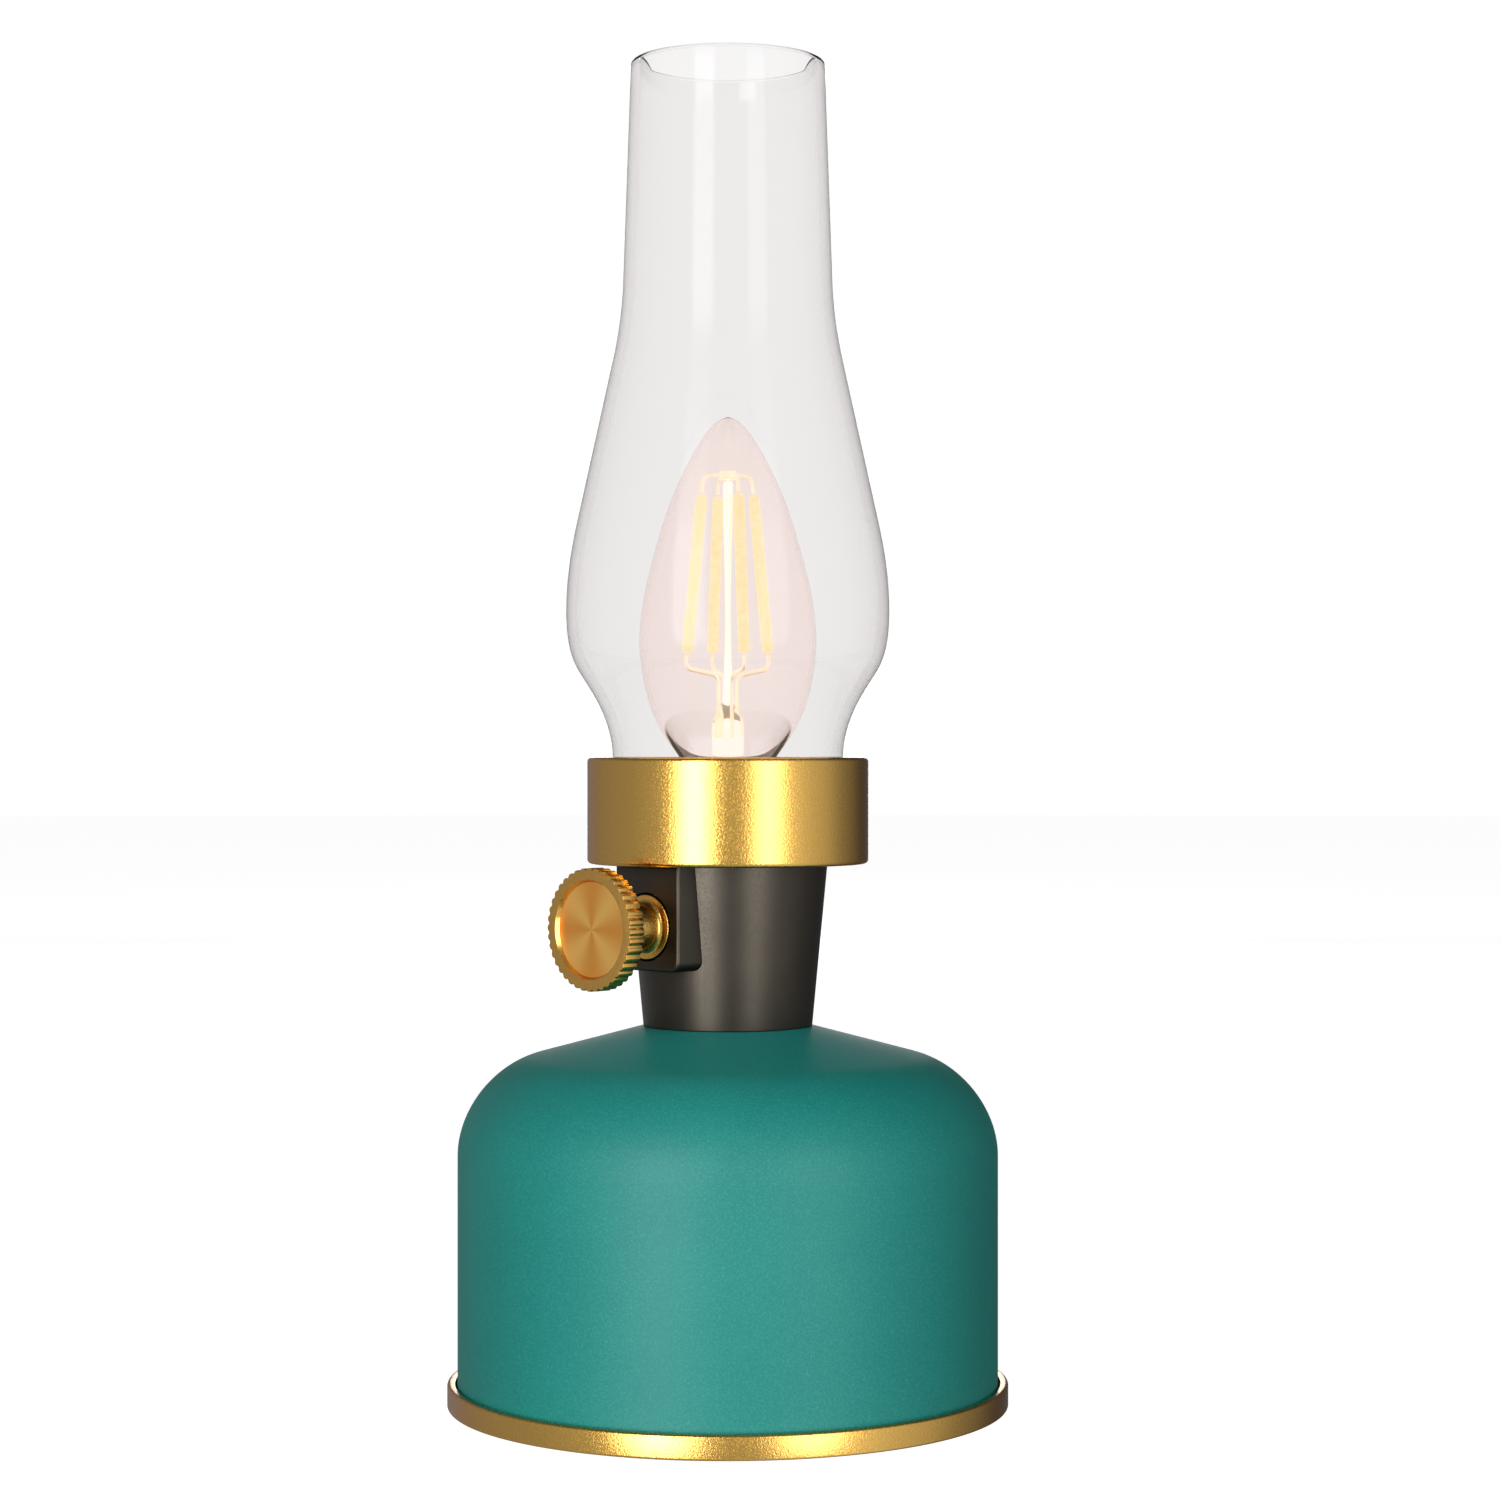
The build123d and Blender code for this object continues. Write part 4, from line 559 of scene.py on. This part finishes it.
# %% The shell's outline
shell_radius = 53 * mm
shell_wall = 2 * mm
shoulder_radius = 20 * mm
cone_slope = radians(15)
neck_foot_radius = 16.6 * mm
shell_low = low("base_shell").z
corner_z = neck_foot_z - (shell_radius - neck_foot_radius) * tan(cone_slope)
shoulder_easing = shoulder_radius * tan((pi / 2 - cone_slope) / 2)
hem = 0.4 * mm
shell_outline = eased_outline(
    [
        (shell_radius, shell_low, hem), (shell_radius, corner_z, shoulder_easing),
        (neck_foot_radius, neck_foot_z, hem), (9.2 * mm, neck_foot_z),
        (9.2 * mm, neck_foot_z - shell_wall), (neck_foot_radius - hem, neck_foot_z - shell_wall),
        (shell_radius - shell_wall, corner_z + shell_wall * (tan(cone_slope) - 1 / cos(cone_slope)),
         shoulder_easing - shell_wall),
        (shell_radius - shell_wall, shell_low),
    ],
    segments=28,
)
base_cover = finish_mesh(
    spin(shell_outline, 192), "base_cover", powder_coat, "root", ["base_shell"],
)

# %% The slot for the charging port
socket_low, socket_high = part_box("usb_c_socket")
port_z = (socket_low.z + socket_high.z) / 2
slot_half_width = 8 * mm
slot_half_height = 5 * mm
slot_depth = 12 * mm
slot_roundness = 0.98
slot = block((2 * slot_half_width, slot_depth, 2 * slot_half_height), (0, 52 * mm, port_z))
ease(slot, [e for e in slot.edges if along_y(e)], slot_half_height * slot_roundness, 12)
combine(base_cover, helper_block(slot, "slot_cutter"), "DIFFERENCE")
print("port at height", round(port_z, 4))

# %% [markdown]
# The brass ring is an L in section: a flange under the shell and a lip that stands a little
# proud all round. The gap between lip and shell shows as a thin dark line, so it is modelled.
# The foot pad below is moulded silicone with one shallow groove.

# %% Ring and foot
ring_low, ring_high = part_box("base_ring")
ring_radius = 55 * mm
lip_inner = 53.3 * mm
flange_inner = 41 * mm
flange_top = shell_low
ring_piece = turned([
    (flange_inner, ring_low.z, 0.2 * mm), (ring_radius, ring_low.z, 0.45 * mm),
    (ring_radius, ring_high.z, 0.6 * mm), (lip_inner, ring_high.z, 0.35 * mm),
    (lip_inner, flange_top), (flange_inner, flange_top),
], 192)
finish_mesh(ring_piece, "brass_ring", satin_brass, "root", ["base_ring"])

foot_radius = 40.5 * mm
foot_top = high("foot_pad").z
groove_in, groove_out, groove_depth = 29 * mm, 33 * mm, 0.5 * mm
foot_piece = turned([
    (0, 0), (groove_in, 0, 0.15 * mm), (groove_in, groove_depth), (groove_out, groove_depth),
    (groove_out, 0, 0.15 * mm), (foot_radius, 0, 0.4 * mm), (foot_radius, foot_top), (0, foot_top),
], 128)
finish_mesh(foot_piece, "foot_disc", silicone, "root", ["foot_pad"])

# %% [markdown]
# ## The neck
#
# The neck is one casting: a cone that opens upwards, with a flat boss for the dimmer. The boss
# is a block with rounded lower corners and eased edges, joined to the cone with a Boolean, and
# the round recess for the knob's stem is cut in afterwards.

# %% Cone and boss
neck_top_radius = 19.6 * mm
neck_wall = 2.0 * mm
spigot_radius = 9 * mm
spigot_bore = 6.5 * mm
spigot_end_z = low("neck_housing").z
neck_floor_z = neck_foot_z + 2.5 * mm
cone_piece = turned([
    (spigot_radius, neck_foot_z), (neck_foot_radius, neck_foot_z, 0.25 * mm),
    (neck_top_radius, neck_top_z), (neck_top_radius - neck_wall, neck_top_z),
    (neck_foot_radius - neck_wall, neck_floor_z), (spigot_bore, neck_floor_z),
    (spigot_bore, spigot_end_z), (spigot_radius, spigot_end_z),
], 160)
neck = finish_mesh(cone_piece, "neck_casting", gunmetal, "root", ["neck_housing"])

boss_half_width = 8.8 * mm
boss_front = low("neck_housing").y
boss_inner = -14.5 * mm
boss_low = knob_z - 8.5 * mm
boss = block(
    (2 * boss_half_width, boss_inner - boss_front, neck_top_z - boss_low),
    (0, (boss_front + boss_inner) / 2, (neck_top_z + boss_low) / 2),
)
ease(boss, [e for e in boss.edges if along_y(e) and e.verts[0].co.z < knob_z], 2.1 * mm, 8)
front_edges = [e for e in boss.edges if all(v.co.y < boss_front + 0.01 * mm for v in e.verts)]
ease(boss, front_edges, 0.6 * mm, 4)
tidy(boss)
combine(neck, helper_block(boss, "boss_block"), "UNION")

recess_radius = 6.65 * mm
recess_length = 10 * mm
recess_floor = boss_front + 3 * mm
recess = bmesh.new()
bmesh.ops.create_cone(
    recess, cap_ends=True, segments=96, radius1=recess_radius, radius2=recess_radius,
    depth=recess_length,
)
lay_on_knob_axis(recess)
bmesh.ops.translate(recess, vec=(0, recess_floor - recess_length / 2, 0), verts=recess.verts[:])
combine(neck, helper_block(recess, "recess_cutter"), "DIFFERENCE")
print("boss front at", round(boss_front, 4))

# %% [markdown]
# ## The gallery
#
# The gallery is a brass band with its top turned in to a lip round the glass. Both rims are
# eased by almost a millimetre, which gives the thin bright lines at top and bottom.

# %% Gallery band
band_low, band_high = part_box("gallery_band")
band_radius = 27.63 * mm
band_wall = 0.8 * mm
lip_hole = 23.4 * mm
lip_low = band_high.z - 1.0 * mm
band_easing = 0.9 * mm
band_inner = band_radius - band_wall
band_piece = turned([
    (band_radius, band_low.z, band_easing), (band_radius, band_high.z, band_easing),
    (lip_hole, band_high.z, 0.3 * mm), (lip_hole, lip_low, 0.3 * mm),
    (band_inner, lip_low), (band_inner, band_low.z, 0.2 * mm),
], 192)
finish_mesh(band_piece, "gallery_ring", satin_brass, "root", ["gallery_band"])

# %% [markdown]
# ## The glass chimney
#
# The chimney is blown into a mould. Its outline rises straight from the fitter, swells to the
# belly, runs in along a straight flank and bends gently into the stack, which narrows by a
# couple of degrees. The wall is even, and the rims are fire-polished round.

# %% Chimney
glass_low, glass_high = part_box("glass_chimney")
fitter_radius = 22.7 * mm
rim_radius = 19.1 * mm
belly_z = glass_low.z + 46.3 * mm
stations = [
    (fitter_radius, glass_low.z, 0.0), (fitter_radius, glass_low.z + 17.8 * mm, 0.0),
    (24.75 * mm, belly_z - 19.7 * mm, 0.43), (27.3 * mm, belly_z - 15.0 * mm, 0.62),
    (30.1 * mm, belly_z - 10.3 * mm, 0.45), (31.45 * mm, belly_z - 5.4 * mm, 0.14),
    (31.8 * mm, belly_z, 0.0), (29.8 * mm, belly_z + 17 * mm, -0.2208),
    (22.57 * mm, belly_z + 49.75 * mm, -0.2208), (20.63 * mm, belly_z + 64.9 * mm, -0.0354),
    (rim_radius, glass_high.z, -0.0354),
]
chimney = finish_mesh(
    spin(flowing_outline(stations, 12), 192), "chimney_glass", chimney_glass, "chimney",
    ["glass_chimney"], sharp=180,
)
give_wall(chimney, 1.9 * mm, 0.75 * mm)
settle(chimney, sharp=180)

# %% [markdown]
# ## The bulb
#
# A candle bulb of 35 mm: a thin blown envelope, a pressed glass stem that carries the support
# wires, and four glowing sticks that lean in towards the top. A stick is a strip of tiny diodes
# in a phosphor jacket, rounded at both ends.

# %% Envelope and stem
envelope_low = low("bulb_envelope").z
tip = bulb_tip_z
envelope_stations = [
    (6.5 * mm, envelope_low, 0.0), (6.5 * mm, tip - 73.0 * mm, 0.15),
    (9.64 * mm, tip - 66.5 * mm, 0.66), (13.1 * mm, tip - 61.3 * mm, 0.56),
    (16.4 * mm, tip - 52.3 * mm, 0.22), (17.45 * mm, tip - 44.4 * mm, 0.0),
    (15.05 * mm, tip - 28.7 * mm, -0.27), (8.26 * mm, tip - 9.8 * mm, -0.52),
    (5.3 * mm, tip - 4.6 * mm, -0.63), (3.0 * mm, tip - 1.75 * mm, -1.05),
    (1.3 * mm, tip - 0.45 * mm, -2.2), (0.0, tip, -4.5),
]
envelope = finish_mesh(
    spin(flowing_outline(envelope_stations, 9), 144), "bulb_bubble", bulb_glass, "bulb",
    ["bulb_envelope"], sharp=180,
)
give_wall(envelope, 0.8 * mm)
settle(envelope, sharp=180)

stem_low, stem_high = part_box("bulb_stem")
press_z = low("filament_1").z - 8 * mm
stem_stations = [
    (5.5 * mm, stem_low.z, 0.0), (5.2 * mm, stem_low.z + 1.5 * mm, -0.5),
    (3.4 * mm, stem_low.z + 5 * mm, -0.1), (3.2 * mm, press_z - 5 * mm, 0.0),
    (1.2 * mm, press_z, -0.1), (1.0 * mm, stem_high.z - 1.5 * mm, 0.0),
    (0.6 * mm, stem_high.z - 0.7 * mm, -0.1), (0.6 * mm, stem_high.z - 0.2 * mm, 0.0),
    (0.0, stem_high.z, -3.0),
]
finish_mesh(
    spin(flowing_outline(stem_stations, 6), 48), "bulb_mount", stem_glass, "bulb",
    ["bulb_stem"], sharp=180,
)

# %% Glowing sticks
stick_radius = 1.1 * mm
stick_shortening = 0.4 * mm
end_zone = 1 * mm


def middle(points):
    """The mean of some points."""
    return sum(points, Vector()) / len(points)


for number in range(1, 5):
    node = f"filament_{number}"
    verts = [v.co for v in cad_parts[node].data.vertices]
    foot_end, head_start = low(node).z + end_zone, high(node).z - end_zone
    foot_point = middle([v for v in verts if v.z < foot_end])
    head_point = middle([v for v in verts if v.z > head_start])
    run = head_point - foot_point
    stick = bmesh.new()
    bmesh.ops.create_cone(
        stick, cap_ends=True, segments=32, radius1=stick_radius, radius2=stick_radius,
        depth=run.length - stick_shortening,
    )
    rims = [e for e in stick.edges if abs(e.verts[0].co.z - e.verts[1].co.z) < 0.01 * mm]
    ease(stick, rims, 0.9 * stick_radius, 6)
    turn = run.to_track_quat("Z", "Y").to_matrix().to_4x4()
    place = Matrix.Translation((foot_point + head_point) / 2) @ turn
    bmesh.ops.transform(stick, matrix=place, verts=stick.verts[:])
    tidy(stick)
    finish_mesh(
        stick, f"glow_stick_{number}", phosphor, "bulb", [node], sharp=60,
    )

# %% [markdown]
# ## The knob
#
# The knob is three pieces pressed together: a stem with a flange, a disc whose edge is cut with
# forty straight flutes, and a thin faced disc that sits below the rim. The disc starts as a
# circle; its points are pulled in wherever a flute runs, and the circle is then extruded.

# %% Fluted disc
knob_radius = 11.7 * mm
flutes = 40
flute_depth = 0.38 * mm
valley_sharpness = 1.55
points_per_flute = 10
dish_radius = 9.5 * mm
knob_thickness = knob_back - knob_front


def flute_profile(turn):
    """How deep the flute is at this angle: a round valley between narrow lands."""
    share = (turn * flutes / TURN) % 1.0
    valley = max(0.0, cos((share - 0.5) * pi * valley_sharpness))
    return flute_depth * valley


disc = bmesh.new()
bmesh.ops.create_circle(
    disc, cap_ends=True, radius=knob_radius, segments=flutes * points_per_flute,
)
for vert in disc.verts:
    angle = vert.co.xy.angle_signed(Vector((1, 0)))
    vert.co.xy *= (knob_radius - flute_profile(angle)) / knob_radius
top = bmesh.ops.extrude_face_region(disc, geom=disc.faces[:])
raised = [v for v in top["geom"] if isinstance(v, bmesh.types.BMVert)]
bmesh.ops.translate(disc, vec=(0, 0, knob_thickness), verts=raised)
tidy(disc)
rim_loops = [
    e for e in disc.edges
    if abs(e.verts[0].co.z - e.verts[1].co.z) < 0.001 * mm and len(e.link_faces) == 2
]
ease(disc, rim_loops, 0.10 * mm, 2)
lay_on_knob_axis(disc)
bmesh.ops.translate(disc, vec=(0, knob_back, 0), verts=disc.verts[:])
knob_disc = finish_mesh(
    disc, "fluted_disc", knurled_brass, "knob", ["knob_disc"], sharp=30,
)
face_front = low("knob_face").y
face_thickness = 0.1 * mm
dish_floor = face_front + face_thickness
wall_slope = tan(radians(25))
face_radius = dish_radius - (dish_floor - knob_front) * wall_slope
cutter_length = 4 * mm
dish = bmesh.new()
bmesh.ops.create_cone(
    dish, cap_ends=True, segments=128, radius1=face_radius,
    radius2=face_radius + cutter_length * wall_slope, depth=cutter_length,
)
lay_on_knob_axis(dish)
bmesh.ops.translate(dish, vec=(0, dish_floor - cutter_length / 2, 0), verts=dish.verts[:])
combine(knob_disc, helper_block(dish, "dish_cutter"), "DIFFERENCE")

# %% Face and stem
face_edge = face_radius - 0.02 * mm
face_piece = lay_on_knob_axis(turned([
    (0, -dish_floor), (face_edge, -dish_floor), (face_edge, -face_front), (0, -face_front),
], 128))
tidy(face_piece)
finish_mesh(face_piece, "faced_disc", spun_brass_painted_fans, "knob", ["knob_face"])

stem_radius = 4.45 * mm
stem_bore = 3.1 * mm
flange_radius = 6.25 * mm
flange_thickness = 1.0 * mm
cove = 1.2 * mm
stem_start = -high("knob_stem").y
stem_end = -knob_back
stem_points = [
    (stem_bore, stem_start), (flange_radius, stem_start, 0.2 * mm),
    (flange_radius, stem_start + flange_thickness, 0.25 * mm),
    (stem_radius, stem_start + flange_thickness, cove),
    (stem_radius, stem_end), (stem_bore, stem_end),
]
stem_piece = lay_on_knob_axis(turned(stem_points, 96, segments=8))
tidy(stem_piece)
finish_mesh(stem_piece, "knob_shank", satin_brass, "knob", ["knob_stem"])

# %% [markdown]
# ## Pieces that keep their CAD shape
#
# Everything inside the lamp, and the small fittings, already have the right shape. They keep
# it, and each gets the material of the real piece.

# %% Materials for the CAD nodes
cad_finishes = {
    zinc_steel: ["base_plate", "neck_washer", "dimmer_washer", "gallery_floor"],
    screw_steel: ["base_screws", "board_screws", "cradle_screws", "gallery_screws",
                  "lampholder_screws", "knob_grub_screw"],
    nickel: ["usb_c_socket", "battery_tabs", "dimmer_bushing", "dimmer_terminals", "dimmer_nut",
             "dimmer_shaft", "lampholder_screw_shell", "bulb_cap", "bulb_contact"],
    lit_wire: ["filament_links"],
    spring_brass: ["lampholder_contact", "lampholder_terminals", "neck_nut"],
    capacitor_can: ["board_capacitors"],
    black_plastic: ["charge_port_bezel", "battery_cradle"],
    holder_plastic: ["lampholder_body"],
    white_nylon: ["board_headers"],
    dimmer_plastic: ["dimmer_body"],
    phenolic: ["dimmer_wafer", "dimmer_wiper"],
    solder_mask: ["charge_board"],
    chip_epoxy: ["board_chips"],
    ferrite: ["board_inductor"],
    cell_film: ["battery_cells"],
    silicone: ["battery_strap"],
    seal_silicone: ["chimney_seal"],
    lead_rubber: ["battery_leads", "lamp_leads", "dimmer_leads"],
    vitrite: ["bulb_cap_insulator"],
}
for material, names in cad_finishes.items():
    for name in names:
        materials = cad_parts[name].data.materials
        materials.clear()
        materials.append(material)
print("CAD nodes finished:", sum(len(names) for names in cad_finishes.values()))

# %% [markdown]
# ## Camera, light and floor
#
# The camera looks level at the lamp from 45 degrees to the knob's side, with a long lens, so
# that upright lines stay upright. Two tall soft boxes stand in front, one on each side of the
# camera. Their reflections make the two bright stripes on the brass and the glass.

# %% Camera
view_azimuth = radians(45)
camera_distance = 0.6559
camera_sideways = 0.00435
camera_height = 0.1293
towards_camera = Vector((sin(view_azimuth), -cos(view_azimuth), 0))
rightwards = Vector((cos(view_azimuth), sin(view_azimuth), 0))
camera_data = bpy.data.cameras.new("camera")
camera_data.lens = 80
camera_data.sensor_width = 36
camera = bpy.data.objects.new("camera", camera_data)
camera.location = towards_camera * camera_distance + rightwards * camera_sideways
camera.location.z = camera_height
camera.rotation_euler = (radians(90), 0, view_azimuth)
bpy.context.scene.collection.objects.link(camera)
bpy.context.scene.camera = camera
bpy.context.scene.view_settings.view_transform = "Standard"


# %% [markdown]
# A soft box is a lamp behind a cloth, so it is bright in the middle and fades at its edges. Here
# it is a plane with an emission that fades by the plane's UV map. It lights and is mirrored, but
# neither the camera nor a look through the glass meets it.


# %% Soft boxes
BOX_EDGE = 0.25


def fade(material, coordinate, width):
    """1 inside a 0 to 1 coordinate, falling softly to 0 over this width at both ends."""
    away = calculate(material, "ABSOLUTE", calculate(material, "SUBTRACT", coordinate, 0.5))
    return add_node(
        material, "ShaderNodeMapRange", {"interpolation_type": "SMOOTHSTEP"},
        Value=away, From_Min=0.5, From_Max=0.5 - width, To_Min=0.0, To_Max=1.0,
    ).outputs["Result"]


def soft_box(name, azimuth, distance, centre_z, width, height, radiance):
    """An upright glowing panel, at this azimuth in degrees to the right of the camera."""
    material = new_material(name)
    uv = add_node(material, "ShaderNodeTexCoord").outputs["UV"]
    split = add_node(material, "ShaderNodeSeparateXYZ", Vector=uv)
    across = fade(material, split.outputs["X"], BOX_EDGE)
    upwards = fade(material, split.outputs["Y"], BOX_EDGE)
    strength = calculate(
        material, "MULTIPLY", calculate(material, "MULTIPLY", across, upwards), radiance,
    )
    glow = add_node(material, "ShaderNodeEmission", Color=rgb("#FFFFFF"), Strength=strength)
    finish_material(material, glow.outputs[0])
    panel = bmesh.new()
    panel.loops.layers.uv.new("UVMap")
    bmesh.ops.create_grid(panel, x_segments=1, y_segments=1, size=0.5, calc_uvs=True)
    bmesh.ops.scale(panel, vec=(width, height, 1), verts=panel.verts[:])
    mesh = bpy.data.meshes.new(name)
    panel.to_mesh(mesh)
    panel.free()
    mesh.materials.append(material)
    box = bpy.data.objects.new(name, mesh)
    turn = radians(azimuth)
    place = (towards_camera * cos(turn) + rightwards * sin(turn)) * distance
    box.location = place + Vector((0, 0, centre_z))
    box.rotation_euler = (-place).to_track_quat("Z", "Y").to_euler()
    bpy.context.scene.collection.objects.link(box)
    box.visible_camera = False
    box.visible_transmission = False
    box.visible_shadow = False


soft_box("left_box", -27, 1.2, 0.22, 0.66, 1.6, 8.2)
soft_box("right_box", 33, 1.2, 0.22, 0.60, 1.6, 5.0)
soft_box("back_box", 180, 1.6, 0.25, 0.60, 1.2, 3.0)

# %% [markdown]
# The floor is a wide white disc. Everything the lamp mirrors beside the soft boxes is the room
# itself: mid grey on the left, dark on the right and overhead. A metal needs dark to mirror as
# much as it needs light, so the room's tones are set for mirror rays by their direction, while
# the camera and the glass see plain white.

# %% Floor
floor_mesh = bmesh.new()
bmesh.ops.create_circle(floor_mesh, cap_ends=True, radius=6.0, segments=96)
floor_data = bpy.data.meshes.new("floor")
floor_mesh.to_mesh(floor_data)
floor_mesh.free()
floor = bpy.data.objects.new("floor", floor_data)
bpy.context.scene.collection.objects.link(floor)
floor.visible_diffuse = False
floor.visible_glossy = False


def make_floor_paint():
    """White paint so evenly lit that it hardly shows a shadow."""
    material = new_material("matt white paint")
    glow = add_node(material, "ShaderNodeEmission", Color=rgb("#FFFFFF"), Strength=0.965).outputs[0]
    paint = add_node(material, "ShaderNodeBsdfDiffuse", Color=rgb("#8E8E8C")).outputs[0]
    lit_paint = add_node(material, "ShaderNodeAddShader", _0=paint, _1=glow).outputs[0]
    return finish_material(material, lit_paint)


floor_data.materials.append(make_floor_paint())

# %% Room tones by direction
room_tones = [
    (-180, 0.12), (-150, 0.30), (-90, 0.36), (-62, 0.46), (0, 0.46), (52, 0.95), (80, 0.62),
    (110, 0.25), (140, 0.08), (180, 0.12),
]
world = bpy.data.worlds.new("studio")
world.use_nodes = True
world.node_tree.nodes.clear()
path = add_node(world, "ShaderNodeLightPath")
facing = add_node(
    world, "ShaderNodeMapping", Vector=add_node(world, "ShaderNodeTexCoord").outputs["Generated"],
    Rotation=(0, 0, pi / 2 - view_azimuth),
)
direction = add_node(world, "ShaderNodeSeparateXYZ", Vector=facing.outputs["Vector"]).outputs
bearing = calculate(world, "ARCTAN2", direction["Y"], direction["X"])
ramp = add_node(world, "ShaderNodeValToRGB", Fac=between(world, bearing, 0, 1, -pi, pi))
ramp.color_ramp.interpolation = "EASE"
stops = ramp.color_ramp.elements
for bearing_degrees, _ in room_tones[1:-1]:
    stops.new((bearing_degrees + 180) / 360)
for stop, (_, tone) in zip(stops, room_tones):
    stop.color = (tone, tone, tone, 1)
ceiling = between(world, direction["Z"], 1.0, 0.3, 0.25, 0.8)
mirrored = calculate(world, "MULTIPLY", ramp.outputs["Color"], ceiling)
seen = calculate(
    world, "MAXIMUM", path.outputs["Is Camera Ray"], path.outputs["Is Transmission Ray"],
)


def background(strength):
    """A white background of this strength."""
    return add_node(
        world, "ShaderNodeBackground", Color=rgb("#FFFFFF"), Strength=strength,
    ).outputs[0]


fill = background(0.035)
glossy = path.outputs["Is Glossy Ray"]
lit = add_node(world, "ShaderNodeMixShader", _0=glossy, _1=fill, _2=background(mirrored)).outputs[0]
mix = add_node(world, "ShaderNodeMixShader", _0=seen, _1=lit, _2=background(1.0)).outputs[0]
add_node(world, "ShaderNodeOutputWorld", Surface=mix)
bpy.context.scene.world = world
